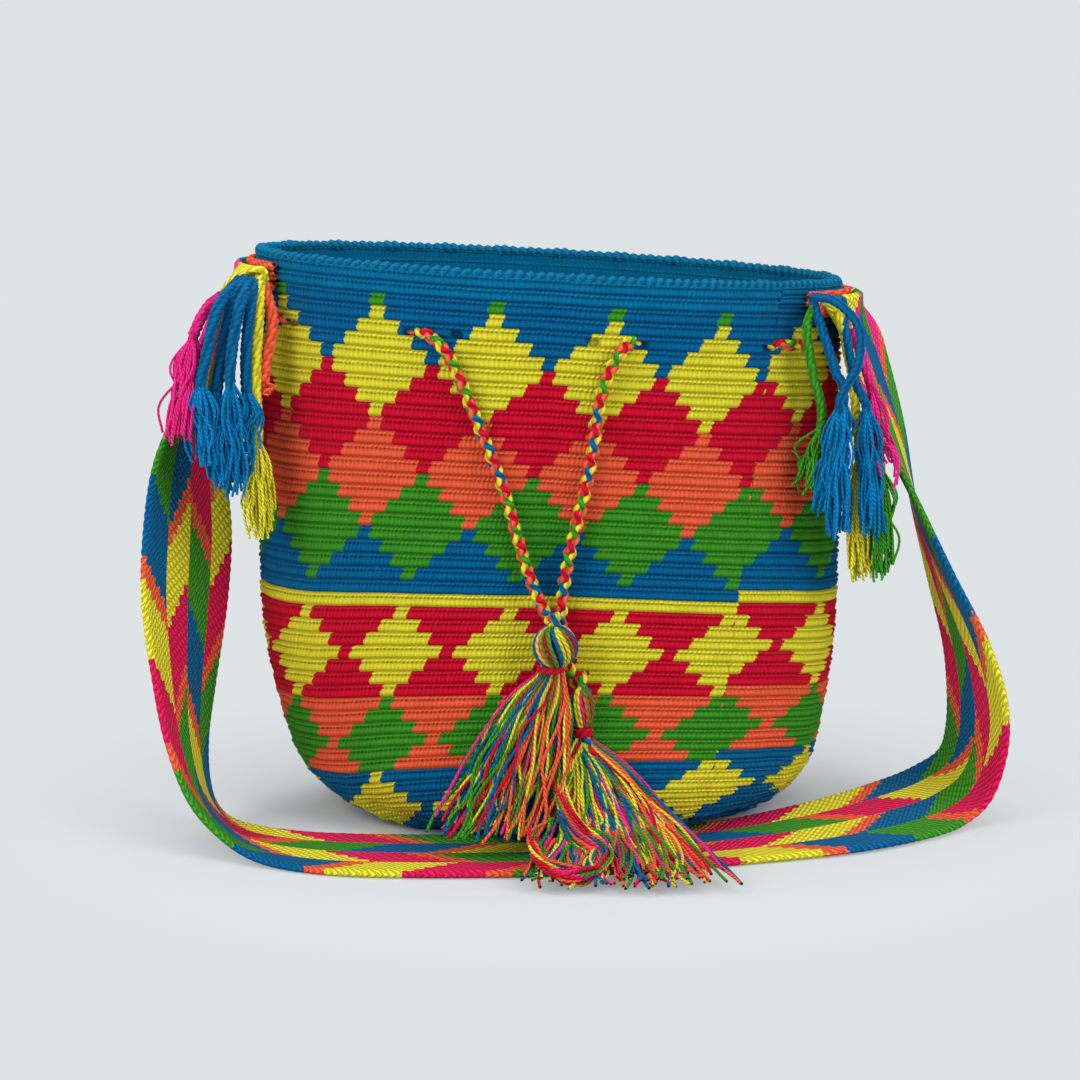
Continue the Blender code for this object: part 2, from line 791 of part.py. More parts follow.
def against_body(stations):
    """Fills in the y of the sections that lie against the body's front."""
    found = []
    for x, y, z, half_width, half_thickness in stations:
        if y is None:
            y = front_face(x, z) - TASSEL_SEAT - half_thickness
        found.append((x, y, z, half_width, half_thickness))
    return found


def head_centre(side):
    """The middle of a tassel's head, which sits on the tie above its skirt."""
    x, radius, half_length, skirt, _ = TASSELS[side]
    z = skirt[0][2] + 2 * CLEARANCE + 2 * TIE_HALF_LENGTH + half_length * math.cos(math.pi / 8)
    # The left head lies over the right end of the cord, and the right head on the body.
    behind = CORD_DIAMETER + 3 * CLEARANCE if side == "left" else 0.0
    return Vector((x, front_face(x, z) - TASSEL_SEAT - behind - radius, z))


def head_top(side):
    _, _, half_length, _, _ = TASSELS[side]
    return head_centre(side) + Vector((0, 0, half_length * math.cos(math.pi / 8) + CLEARANCE))


def head_stations(side):
    _, radius, half_length, _, _ = TASSELS[side]
    centre = head_centre(side)
    stations = []
    for i in range(1, 8):
        angle = math.pi * i / 8
        reach = radius * math.sin(angle)
        stations.append((centre.x, centre.y, centre.z + half_length * math.cos(angle), reach, reach))
    return stations


def tie_stations(skirt_top):
    x, y, z, radius, _ = skirt_top
    bottom = z + CLEARANCE
    shape = ((2.0, 0.85), (1.4, 1.0), (0.6, 1.0), (0.0, 0.85))
    return [(x, y, bottom + rise * TIE_HALF_LENGTH, radius * swell, radius * swell) for rise, swell in shape]


def make_tassels(yarn):
    for side, (_, _, _, skirt, colours) in TASSELS.items():
        lower = against_body(skirt)
        bundle(f"tassel_{side}_head", head_stations(side), TASSEL_LOBES, yarn[colours[0]])
        bundle(f"tassel_{side}_tie", tie_stations(lower[0]), 0, yarn[colours[1]])
        bundle(f"tassel_{side}_skirt", lower, TASSEL_LOBES, yarn[colours[2]])


def main():
    clear_scene()
    yarn = {name: yarn_material(f"{name}_yarn", colour) for name, colour in YARN_COLOURS.items()}
    make_body(yarn)
    grid = make_strap(yarn)
    make_drawstring(yarn)
    make_fringe(grid, yarn)
    make_tassels(yarn)


main()
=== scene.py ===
"""Scene for the crochet bucket bag: camera, light, floor and the pieces that give the bag its looks."""

import math

import bpy
import numpy as np
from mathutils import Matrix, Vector

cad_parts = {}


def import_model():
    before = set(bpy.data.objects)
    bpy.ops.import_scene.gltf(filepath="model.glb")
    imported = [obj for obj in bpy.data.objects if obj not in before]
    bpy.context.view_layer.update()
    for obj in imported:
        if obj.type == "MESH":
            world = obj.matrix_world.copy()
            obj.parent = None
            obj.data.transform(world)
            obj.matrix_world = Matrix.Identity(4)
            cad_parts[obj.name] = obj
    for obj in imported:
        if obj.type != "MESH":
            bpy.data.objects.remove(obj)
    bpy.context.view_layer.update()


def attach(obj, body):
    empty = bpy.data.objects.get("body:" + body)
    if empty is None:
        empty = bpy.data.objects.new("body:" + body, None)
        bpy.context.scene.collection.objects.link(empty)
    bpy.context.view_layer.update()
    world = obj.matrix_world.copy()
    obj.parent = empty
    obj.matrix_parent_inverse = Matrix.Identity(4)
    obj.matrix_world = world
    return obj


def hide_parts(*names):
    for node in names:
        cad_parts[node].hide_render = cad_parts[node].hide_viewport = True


# Camera and light
CAMERA_PLACE = (-0.0091, -1.5056, 0.3746)
CAMERA_PITCH = 9.46
CAMERA_LENS = 110.67
BACKDROP = (0.730, 0.767, 0.791)
FLOOR_ALBEDO = (0.66, 0.693, 0.713)
FLOOR_NEAR = 0.08
FLOOR_FAR = 0.28
FLOOR_HALF = 30.0
WORLD_TINT = (0.92, 0.96, 1.0)
WORLD_STRENGTH = 0.50
# Lamps: name, place, target, size and power.
LAMPS = (
    ("left_box", (-1.3, -1.1, 1.1), (0, 0, 0.12), 1.2, 19.0),
    ("right_box", (1.3, -1.1, 1.1), (0, 0, 0.12), 1.2, 17.0),
    ("top_box", (0.0, 0.1, 1.8), (0, 0, 0.1), 1.6, 12.0),
)

# Yarn colours, linear
BLUE = (0.000, 0.118, 0.290)
YELLOW = (0.740, 0.665, 0.034)
CRIMSON = (0.620, 0.004, 0.028)
ORANGE = (0.840, 0.112, 0.044)
GREEN = (0.045, 0.280, 0.016)
PINK = (0.800, 0.022, 0.230)
RIM_BLUE = (0.000, 0.180, 0.360)
STRAP_CRIMSON = (0.700, 0.010, 0.085)
FRAYED_BLUE = (0.000, 0.200, 0.470)

# The body's shape, as in the CAD part
BAG_HEIGHT = 0.250
RIM_HALF_WIDTH = 0.130
RIM_HALF_DEPTH = 0.070
BASE_HALF_WIDTH = 0.107
BASE_HALF_DEPTH = 0.100
TAPER_HEIGHT = 0.110
RIM_TILT = 0.055
TOP_LEAN = -0.005
BASE_EDGE_HEIGHT = 0.030
BASE_FLAT_SHARE = 0.72
WALL = 0.0035
RIDGE_DEPTH = 0.0009
CREASE_DEPTH = 0.004
CREASE_HALF_WIDTH = 0.014
LIFT_DEPTH_SHARE = 0.58
LIFT_SKEW = 0.13
LIFT_BOW = 1.5
LIFT_RAMP = 0.010
LIFT = 0.0039
# The rim's roll: its radius, and what its stitches and its unevenness add to it.
ROLL_RADIUS = 0.0018
ROLL_KNOB = 0.0009
ROLL_UNEVEN = 0.0004

# Rounds and blocks of the crochet. A block is three stitches wide, and a pattern repeat is eight blocks.
ROUNDS = 45
BASE_ROUNDS = 13
BASE_SPAN = 0.30
BLOCKS = 104
JOG_BLOCK = 28.5
# How the rounds crowd towards the base: polynomials in q / 45, without and with the sine of the turn.
ROUND_DRIFT = (1.665, 0.232, -1.895, -0.670, -1.646)
ROUND_DRIFT_SIDE = (0.766, 0.484, -2.723, -0.072)
# How the columns of blocks drift: terms in q / 45 and in four times the share of the way round.
BLOCK_DRIFT = (11.162, 5.653, 2.058, -0.237, -2.115, 13.657, -15.814, 2.039, -7.926, 5.538, 2.603, -6.279)
DRIFT_LIMIT = 0.21

# Down a round: where its samples stand, how far each stands out, and its painted shade, dark in the grooves
# and a little lighter on the ridges.
ROUND_SAMPLES = (0.00, 0.09, 0.20, 0.33, 0.55, 0.82)
ROUND_RELIEF = (-0.0011, 0.0008, 0.0011, 0.0000, 0.0008, 0.0005)
ROUND_PAINTED_SHADE = (0.45, 1.05, 1.00, 0.80, 1.05, 1.00)
EYELET_ROW = 4.5
EYELET_PAIRS = 8
FIRST_PAIR_ARC = -0.0507
EYELET_REACH = 0.0105
EYELET_HALF = (0.0036, 0.0018)
EYELET_DEPTH = 0.0030

# Places of the yarns in the palettes
IN_BLUE, IN_YELLOW, IN_CRIMSON, IN_ORANGE, IN_GREEN = range(5)

# The strap. Its pattern is mirrored about its middle, and each of its four columns is shifted along it.
STRAP_WIDTH = 0.064
STRAP_THICKNESS = 0.003
STRAP_MIDDLE = 0.4353
STRAP_PHASE = 0.0707
STRAP_SLANT = 0.024
STRAP_SHIFTS = (0.0, 0.037, 0.112, 0.056)
STRAP_STRIPES = (
    (0.037, IN_YELLOW),
    (0.011, IN_ORANGE),
    (0.038, IN_BLUE),
    (0.037, IN_GREEN),
    (0.011, IN_ORANGE),
    (0.036, IN_CRIMSON),
)
STRAP_SEAT_ROUNDS = (2.0, 0.9)
STRAP_END_FLARE = 0.0026
STRAP_COLUMNS = 41
STRAP_ROW_PITCH = 0.00088
# Small loops of yarn stand out along its edges, and its colours meet in teeth.
EDGE_LOOP_PITCH = 0.0042
EDGE_LOOP_REACH = 0.0007
TOOTH_PITCH = 0.0032
TOOTH_REACH = 0.0011
# Past this distance from its middle, over the ramp, its crimson turns to pink.
PINK_FROM = 0.30
PINK_RAMP = 0.05
# The twill's ribs and the breaks across them, in millimetres.
RIB_PITCH = 3.0
RIB_BREAK_PITCH = 2.9
RIGHT_SEAM_SHIFT = 0.010
SEAM_THICKNESS = 0.003
SEAM_GAP = 0.0009
CLEARANCE = 0.0003

# The strap's middle line from the left rim to the right rim, with the direction from front edge to back edge.
STRAP_ROUTE = (
    ((-0.147, -0.002, 0.245), (0.00, 1.00, 0.00)),
    ((-0.157, -0.008, 0.219), (0.05, 1.00, -0.05)),
    ((-0.166, -0.014, 0.187), (0.13, 0.99, -0.08)),
    ((-0.168, -0.019, 0.162), (0.38, 0.92, -0.08)),
    ((-0.168, -0.026, 0.133), (0.52, 0.85, -0.13)),
    ((-0.169, -0.034, 0.102), (0.50, 0.85, -0.16)),
    ((-0.169, -0.043, 0.068), (0.33, 0.92, -0.22)),
    ((-0.167, -0.054, 0.042), (0.17, 0.97, -0.18)),
    ((-0.161, -0.064, 0.021), (0.02, 0.99, -0.10)),
    ((-0.151, -0.074, 0.009), (-0.13, 0.99, -0.04)),
    ((-0.137, -0.086, 0.0036), (-0.20, 0.97, 0.00)),
    ((-0.115, -0.096, 0.0019), (-0.15, 0.98, 0.00)),
    ((-0.085, -0.103, 0.0019), (-0.05, 1.00, 0.00)),
    ((-0.035, -0.104, 0.0019), (0.00, 1.00, 0.00)),
    ((0.018, -0.099, 0.0019), (-0.12, 0.99, 0.00)),
    ((0.072, -0.083, 0.0019), (-0.30, 0.95, 0.00)),
    ((0.120, -0.065, 0.0045), (-0.35, 0.93, 0.07)),
    ((0.157, -0.039, 0.0068), (-0.33, 0.93, 0.14)),
    ((0.176, -0.020, 0.0095), (-0.28, 0.94, 0.16)),
    ((0.187, -0.015, 0.018), (-0.26, 0.95, 0.10)),
    ((0.1915, -0.0155, 0.035), (-0.30, 0.95, -0.05)),
    ((0.191, -0.0155, 0.055), (-0.28, 0.95, -0.12)),
    ((0.1855, -0.0155, 0.079), (-0.18, 0.96, -0.17)),
    ((0.174, -0.012, 0.109), (-0.04, 0.98, -0.19)),
    ((0.1615, -0.010, 0.1435), (0.10, 0.98, -0.17)),
    ((0.150, -0.006, 0.178), (0.28, 0.95, -0.13)),
    ((0.140, -0.005, 0.2055), (0.36, 0.93, -0.07)),
    ((0.1345, -0.007, 0.223), (0.32, 0.94, -0.05)),
)

# The drawstring: its thickness, stitches and braid, and its hanging ends as x, z and distance off the body.
CORD_DIAMETER = 0.005
STITCH_HALF_LENGTH = 0.018
STITCH_OUTSIDE = 0.0033
STITCH_INSIDE = 0.0056
BRAID_PITCH = 0.0130
BRAID_RADIUS = 0.00120
BRAID_SWING = 0.0006
BRAID_STRAND = 0.00136
# One strand is blue and green by turns.
CHANGE_PITCH = 0.075
CHANGE_BLUE = 0.036
LEFT_END_ROUTE = (
    (-0.0525, 0.2215, 0.0016),
    (-0.0455, 0.210, 0.0012),
    (-0.0360, 0.187, 0.0010),
    (-0.0265, 0.163, 0.0010),
    (-0.0205, 0.143, 0.0010),
    (-0.0150, 0.124, 0.0014),
    (-0.0095, 0.110, 0.0040),
    (-0.0045, 0.1016, 0.0078),
)
RIGHT_END_ROUTE = (
    (0.0245, 0.2165, 0.0028),
    (0.0190, 0.205, 0.0012),
    (0.0160, 0.191, 0.0010),
    (0.0140, 0.176, 0.0010),
    (0.0105, 0.158, 0.0010),
    (0.0062, 0.141, 0.0010),
    (0.0030, 0.126, 0.0010),
    (0.0008, 0.112, 0.0008),
    (0.0002, 0.098, 0.0008),
    (0.0022, 0.084, 0.0010),
    (0.0068, 0.0735, 0.0020),
)

# Tassel heads: middle and radius. Skirts: x, y, z of the middle, half width, half thickness.
LEFT_HEAD = ((-0.0026, -0.0898, 0.0917), 0.0088)
RIGHT_HEAD = ((0.0089, -0.0838, 0.0630), 0.0050)
LEFT_SKIRT = (
    (-0.0035, -0.0885, 0.0850, 0.0045, 0.0040),
    (-0.0045, -0.0880, 0.0790, 0.0060, 0.0045),
    (-0.0085, -0.0905, 0.0710, 0.0120, 0.0060),
    (-0.0130, -0.0950, 0.0600, 0.0160, 0.0070),
    (-0.0185, -0.1005, 0.0460, 0.0190, 0.0075),
    (-0.0235, -0.1055, 0.0330, 0.0210, 0.0075),
    (-0.0285, -0.1100, 0.0215, 0.0225, 0.0080),
    (-0.0325, -0.1190, 0.0130, 0.0230, 0.0080),
)
RIGHT_SKIRT = (
    (0.0090, -0.0838, 0.0530, 0.0030, 0.0030),
    (0.0094, -0.0850, 0.0480, 0.0050, 0.0040),
    (0.0150, -0.0900, 0.0400, 0.0120, 0.0070),
    (0.0205, -0.0990, 0.0295, 0.0190, 0.0085),
    (0.0240, -0.1120, 0.0195, 0.0260, 0.0085),
    (0.0265, -0.1290, 0.0120, 0.0330, 0.0075),
    (0.0280, -0.1480, 0.0080, 0.0380, 0.0055),
    (0.0290, -0.1660, 0.0050, 0.0420, 0.0035),
)
# The drawstring's last points, inside the right tassel.
RIGHT_CORE = ((0.0092, -0.0845, 0.0525), (0.0150, -0.0900, 0.0400), (0.0205, -0.0990, 0.0295))
# The curl of yarns that folds back from the right skirt on the floor.
CURL_ROUTE = (
    (0.0090, -0.0850, 0.0500), (0.0020, -0.0920, 0.0400), (-0.0010, -0.1060, 0.0290),
    (0.0060, -0.1240, 0.0180), (0.0170, -0.1330, 0.0120), (0.0180, -0.1440, 0.0080),
    (0.0100, -0.1540, 0.0060), (-0.0010, -0.1550, 0.0070), (-0.0090, -0.1440, 0.0110),
    (-0.0080, -0.1300, 0.0160), (0.0000, -0.1230, 0.0190),
)
CURL_MIDDLE = (0.005, -0.140, 0.010)
CURL_YARNS = 72
LEFT_TIE = (-0.0042, -0.0885, 0.0815)
RIGHT_TIE = (0.0092, -0.0845, 0.0525)
YARN_RADIUS = 0.00070
HEAD_YARN_RADIUS = 0.00085
TIE_YARN_RADIUS = 0.0009
FLOOR_GAP = 0.0002

# The fringe cords: colour, share that is corded, threads at the frayed end, and points along them.
# THREAD_SHARE multiplies the threads, and CORD_SHARE gives a cord's radius in its diameters.
FRINGE_DIAMETER = 0.0042
THREAD_RADIUS = 0.00060
THREAD_SHARE = 3.6
CORD_SHARE = {"left": 0.66, "right": 0.54}
LEFT_FRINGE = {
    "orange": (ORANGE, 0.86, 4, (
        (-0.131, -0.038, 0.244), (-0.127, -0.044, 0.229), (-0.1295, -0.047, 0.213),
        (-0.132, -0.0475, 0.196),
    )),
    "yellow": (YELLOW, 0.62, 14, (
        (-0.133, -0.037, 0.248), (-0.133, -0.047, 0.233), (-0.1345, -0.049, 0.208),
        (-0.134, -0.05, 0.18), (-0.1325, -0.05, 0.133),
    )),
    "blue_1": (BLUE, 0.58, 12, (
        (-0.1345, -0.038, 0.2465), (-0.1365, -0.05, 0.235), (-0.1385, -0.0515, 0.215),
        (-0.1385, -0.0515, 0.193), (-0.14, -0.051, 0.161),
    )),
    "blue_2": (BLUE, 0.52, 14, (
        (-0.137, -0.039, 0.247), (-0.1405, -0.056, 0.236), (-0.144, -0.057, 0.218),
        (-0.1455, -0.057, 0.197), (-0.145, -0.056, 0.153),
    )),
    "blue_3": (BLUE, 0.56, 13, (
        (-0.1395, -0.038, 0.2475), (-0.1445, -0.05, 0.237), (-0.149, -0.052, 0.216),
        (-0.1515, -0.053, 0.194), (-0.151, -0.052, 0.156),
    )),
    "blue_4": (BLUE, 0.6, 12, (
        (-0.142, -0.039, 0.247), (-0.15, -0.056, 0.236), (-0.155, -0.058, 0.216),
        (-0.1585, -0.059, 0.196), (-0.156, -0.058, 0.166),
    )),
    "pink": (PINK, 0.34, 16, (
        (-0.15, -0.04, 0.24), (-0.157, -0.048, 0.233), (-0.164, -0.056, 0.214),
        (-0.169, -0.061, 0.178),
    )),
}
RIGHT_FRINGE = {
    "green": (GREEN, 0.66, 6, (
        (0.112, -0.046, 0.237), (0.108, -0.053, 0.226), (0.111, -0.054, 0.206),
        (0.115, -0.054, 0.186), (0.107, -0.053, 0.154),
    )),
    "blue_1": (BLUE, 0.5, 16, (
        (0.111, -0.045, 0.239), (0.115, -0.056, 0.225), (0.1205, -0.058, 0.208),
        (0.124, -0.059, 0.196), (0.116, -0.056, 0.145),
    )),
    "blue_2": (BLUE, 0.55, 16, (
        (0.111, -0.046, 0.24), (0.12, -0.059, 0.239), (0.13, -0.061, 0.228),
        (0.13, -0.062, 0.212), (0.124, -0.061, 0.2), (0.122, -0.06, 0.188),
        (0.123, -0.056, 0.135),
    )),
    "yellow": (YELLOW, 0.55, 18, (
        (0.122, -0.044, 0.233), (0.127, -0.047, 0.215), (0.131, -0.047, 0.186),
        (0.133, -0.046, 0.156), (0.134, -0.046, 0.114),
    )),
    "blue_3": (BLUE, 0.42, 14, (
        (0.125, -0.044, 0.23), (0.129, -0.056, 0.205), (0.133, -0.057, 0.196),
        (0.135, -0.056, 0.186), (0.138, -0.054, 0.134),
    )),
    "pink": (PINK, 0.4, 8, (
        (0.129, -0.042, 0.225), (0.137, -0.05, 0.2), (0.142, -0.053, 0.18),
        (0.144, -0.053, 0.158),
    )),
    "lime": (GREEN, 0.55, 12, (
        (0.131, -0.04, 0.22), (0.14, -0.046, 0.19), (0.142, -0.047, 0.16),
        (0.144, -0.048, 0.114),
    )),
}


def make_camera():
    data = bpy.data.cameras.new("camera")
    data.lens = CAMERA_LENS
    data.sensor_width = 36.0
    data.clip_end = 50.0
    camera = bpy.data.objects.new("camera", data)
    camera.location = CAMERA_PLACE
    camera.rotation_euler = (math.radians(90.0 - CAMERA_PITCH), 0.0, 0.0)
    bpy.context.scene.collection.objects.link(camera)
    bpy.context.scene.camera = camera


# Materials
def new_material(name):
    material = bpy.data.materials.new(name)
    material.use_nodes = True
    tree = material.node_tree
    shader = tree.nodes["Principled BSDF"]
    return material, tree, shader


def math_node(tree, operation, first, second):
    node = tree.nodes.new("ShaderNodeMath")
    node.operation = operation
    for socket, value in zip(node.inputs, (first, second)):
        if value is None:
            continue
        if isinstance(value, (int, float)):
            socket.default_value = value
        else:
            tree.links.new(value, socket)
    return node.outputs["Value"]


def stripe_height(tree, phase):
    """A wave from 0 to 1 that rises once for each unit of phase."""
    angle = math_node(tree, "MULTIPLY", phase, 2 * math.pi)
    wave = math_node(tree, "SINE", angle, None)
    half = math_node(tree, "MULTIPLY", wave, 0.5)
    return math_node(tree, "ADD", half, 0.5)


def finish_yarn(tree, shader, height, shade, bump_strength, bump_distance, sheen):
    """Joins the mesh's colour (on the body and rim it holds painted shade), a painted shade and a height to
    the shader.
    """
    nodes, links = tree.nodes, tree.links
    colour = nodes.new("ShaderNodeAttribute")
    colour.attribute_name = "yarn"
    tint = nodes.new("ShaderNodeMix")
    tint.data_type = "RGBA"
    tint.blend_type = "MULTIPLY"
    tint.clamp_result = False
    tint.inputs["Factor"].default_value = 1.0
    links.new(colour.outputs["Color"], tint.inputs["A"])
    links.new(shade, tint.inputs["B"])
    links.new(tint.outputs["Result"], shader.inputs["Base Color"])
    bump = nodes.new("ShaderNodeBump")
    bump.inputs["Strength"].default_value = bump_strength
    bump.inputs["Distance"].default_value = bump_distance
    links.new(height, bump.inputs["Height"])
    links.new(bump.outputs["Normal"], shader.inputs["Normal"])
    shader.inputs["Roughness"].default_value = 0.85
    shader.inputs["Specular IOR Level"].default_value = 0.05
    shader.inputs["Sheen Weight"].default_value = sheen
    shader.inputs["Sheen Roughness"].default_value = 0.5


def fibre_noise(tree, vector, scale, detail=4.0):
    noise = tree.nodes.new("ShaderNodeTexNoise")
    noise.inputs["Scale"].default_value = scale
    noise.inputs["Detail"].default_value = detail
    noise.inputs["Roughness"].default_value = 0.65
    tree.links.new(vector, noise.inputs["Vector"])
    return noise.outputs["Fac"]


def remapped(tree, value, low, high, first, last):
    """A value's place between low and high, as a number between first and last."""
    node = tree.nodes.new("ShaderNodeMapRange")
    node.inputs["From Min"].default_value = low
    node.inputs["From Max"].default_value = high
    node.inputs["To Min"].default_value = first
    node.inputs["To Max"].default_value = last
    tree.links.new(value, node.inputs["Value"])
    return node.outputs["Result"]


def uv_place(tree):
    """The uv place, and its two axes by themselves."""
    uv = tree.nodes.new("ShaderNodeUVMap").outputs["UV"]
    axes = tree.nodes.new("ShaderNodeSeparateXYZ")
    tree.links.new(uv, axes.inputs["Vector"])
    return uv, axes.outputs["X"], axes.outputs["Y"]


def stretched(tree, vector, scale):
    mapping = tree.nodes.new("ShaderNodeMapping")
    mapping.inputs["Scale"].default_value = (*scale, 1.0)
    tree.links.new(vector, mapping.inputs["Vector"])
    return mapping.outputs["Vector"]


def crochet_material():
    """Rounds of stitches. The first uv axis counts blocks of three stitches, the second counts rounds."""
    material, tree, shader = new_material("crochet_yarn")
    uv, blocks, rounds = uv_place(tree)
    wander = stretched(tree, uv, (1.7, 0.9))
    uneven = math_node(tree, "MULTIPLY", fibre_noise(tree, wander, 1.0, 1.0), 0.9)
    stitch = math_node(tree, "ADD", math_node(tree, "MULTIPLY", blocks, 3.0), uneven)
    part = math_node(tree, "FRACT", rounds, None)
    # The loops on a round's upper edge slant; its body has shallow upright ribs.
    lean = math_node(tree, "MULTIPLY", math_node(tree, "MINIMUM", part, 0.30), 2.2)
    loop = math_node(tree, "POWER", stripe_height(tree, math_node(tree, "ADD", stitch, lean)), 0.7)
    weight = remapped(tree, part, 0.24, 0.36, 1.0, 0.38)
    fibre = math_node(tree, "MULTIPLY", fibre_noise(tree, stretched(tree, uv, (30.0, 7.0)), 1.0), 0.8)
    height = math_node(tree, "ADD", math_node(tree, "MULTIPLY", loop, weight), fibre)
    # A broken groove runs under the loops, deepest between two of them; its darkness is painted shade.
    away = math_node(tree, "ABSOLUTE", math_node(tree, "SUBTRACT", part, 0.31), None)
    line = remapped(tree, away, 0.03, 0.12, 1.0, 0.0)
    between = math_node(tree, "SUBTRACT", 1.0, math_node(tree, "MULTIPLY", loop, 0.45))
    patchy = remapped(tree, fibre_noise(tree, wander, 4.0, 2.0), 0.35, 0.65, 0.35, 1.0)
    slit = math_node(tree, "MULTIPLY", line, math_node(tree, "MULTIPLY", between, patchy))
    height = math_node(tree, "SUBTRACT", height, slit)
    place = tree.nodes.new("ShaderNodeTexCoord")
    cloud = fibre_noise(tree, place.outputs["Object"], 60.0, 3.0)
    # Painted shade: the colour is darker where the relief is low and lighter where it is high; the cloud adds
    # random tone.
    mixed = math_node(tree, "ADD", height, math_node(tree, "MULTIPLY", cloud, 0.5))
    shade = remapped(tree, mixed, -0.30, 1.20, 0.36, 1.26)
    finish_yarn(tree, shader, height, shade, 0.9, 0.0006, 0.03)
    return material


def woven_material():
    """Ribs that follow one another along the band, with breaks across them. The uv axes are millimetres."""
    material, tree, shader = new_material("woven_yarn")
    uv, width, length = uv_place(tree)
    rib = stripe_height(tree, math_node(tree, "MULTIPLY", length, 1 / RIB_PITCH))
    lean = math_node(tree, "MULTIPLY", length, 0.22)
    across = math_node(tree, "MULTIPLY", width, 1 / RIB_BREAK_PITCH)
    stitch = stripe_height(tree, math_node(tree, "ADD", across, lean))
    soft = math_node(tree, "POWER", rib, 0.6)
    woven = math_node(tree, "MULTIPLY", soft, math_node(tree, "POWER", stitch, 0.35))
    fibre = fibre_noise(tree, uv, 2.6)
    height = math_node(tree, "ADD", woven, math_node(tree, "MULTIPLY", fibre, 0.35))
    # Painted shade: the colour is darker in the hollows of the weave and lighter on its ribs.
    shade = remapped(tree, height, 0.10, 0.95, 0.60, 1.46)
    finish_yarn(tree, shader, height, shade, 0.9, 0.0010, 0.03)
    return material


def plied_material(name, plies, dark):
    """Twisted yarn. The first uv axis runs along it in diameters, the second once round it."""
    material, tree, shader = new_material(name)
    uv, length, girth = uv_place(tree)
    along = math_node(tree, "MULTIPLY", length, 0.55)
    around = math_node(tree, "MULTIPLY", girth, float(plies))
    twist = stripe_height(tree, math_node(tree, "ADD", along, around))
    round_top = math_node(tree, "POWER", twist, 0.6)
    fibre = fibre_noise(tree, uv, 5.0, 3.0)
    height = math_node(tree, "ADD", round_top, math_node(tree, "MULTIPLY", fibre, 0.3))
    # Painted shade: the colour is darker between the plies, down to dark, and lighter on their tops.
    shade = remapped(tree, height, 0.1, 1.15, dark, 1.12)
    finish_yarn(tree, shader, height, shade, 0.8, 0.0003, 0.05)
    return material


# Meshes
def mesh_from(name, points, faces, colours, loop_uv, material):
    """A smooth mesh from arrays: points, quads, a colour for each quad and a uv for each corner of a quad."""
    mesh = bpy.data.meshes.new(name)
    count = len(faces)
    mesh.vertices.add(len(points))
    mesh.vertices.foreach_set("co", np.ascontiguousarray(points, np.float32).ravel())
    mesh.loops.add(count * 4)
    mesh.polygons.add(count)
    mesh.polygons.foreach_set("loop_start", np.arange(count, dtype=np.int32) * 4)
    mesh.loops.foreach_set("vertex_index", np.ascontiguousarray(faces, np.int32).ravel())
    mesh.update(calc_edges=True)
    mesh.polygons.foreach_set("use_smooth", np.ones(count, bool))
    layer = mesh.color_attributes.new("yarn", "FLOAT_COLOR", "CORNER")
    rgba = np.ones((count, 4, 4), np.float32)
    rgba[:, :, :3] = np.asarray(colours, np.float32)[:, None, :]
    layer.data.foreach_set("color", rgba.ravel())
    uv_layer = mesh.uv_layers.new(name="UVMap")
    uv_layer.data.foreach_set("uv", np.ascontiguousarray(loop_uv, np.float32).ravel())
    mesh.materials.append(material)
    obj = bpy.data.objects.new(name, mesh)
    bpy.context.scene.collection.objects.link(obj)
    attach(obj, "root")
    return obj


def grid_faces(rows, columns):
    """Quads of a grid of rows and columns of points, facing out where the columns run to the right."""
    i = np.arange(rows - 1)[:, None]
    j = np.arange(columns - 1)[None, :]
    quads = [i * columns + j, (i + 1) * columns + j, (i + 1) * columns + j + 1, i * columns + j + 1]
    return np.stack(quads, -1).reshape(-1, 4)


def smooth_line(points, steps=12):
    """A dense smooth curve through points."""
    points = np.asarray(points, float)
    padded = np.concatenate([[2 * points[0] - points[1]], points, [2 * points[-1] - points[-2]]])
    before, here, there, after = padded[:-3], padded[1:-2], padded[2:-1], padded[3:]
    t = (np.arange(steps) / steps)[None, :, None]
    before, here, there, after = (part[:, None, :] for part in (before, here, there, after))
    line = 2 * here + (there - before) * t
    line = line + (2 * before - 5 * here + 4 * there - after) * t * t
    line = line + (3 * here - before - 3 * there + after) * t**3
    return np.concatenate([0.5 * line.reshape(-1, points.shape[1]), points[-1:]])


def running_length(line):
    return np.concatenate([[0.0], np.cumsum(np.linalg.norm(np.diff(line, axis=0), axis=1))])


def resampled(line, pitch):
    run = running_length(line)
    count = max(3, int(round(run[-1] / pitch)) + 1)
    at = np.linspace(0.0, run[-1], count)
    return np.stack([np.interp(at, run, line[:, axis]) for axis in range(3)], -1)


def line_frames(line):
    """Tangents and two directions across a line, carried along it without twist."""
    tangents = np.gradient(line, axis=0)
    tangents /= np.maximum(np.linalg.norm(tangents, axis=1, keepdims=True), 1e-12)
    first = np.cross(tangents[0], (0.0, 1.0, 0.0))
    if np.linalg.norm(first) < 0.1:
        first = np.cross(tangents[0], (1.0, 0.0, 0.0))
    across = np.zeros_like(line)
    across[0] = first / np.linalg.norm(first)
    for i in range(1, len(line)):
        carried = across[i - 1] - tangents[i] * np.dot(across[i - 1], tangents[i])
        across[i] = carried / np.linalg.norm(carried)
    return tangents, across, np.cross(tangents, across)


def turned(across, other, angles):
    """Directions across a line, one at each of its points, turned round it by angles."""
    return across * np.cos(angles)[:, None] + other * np.sin(angles)[:, None]


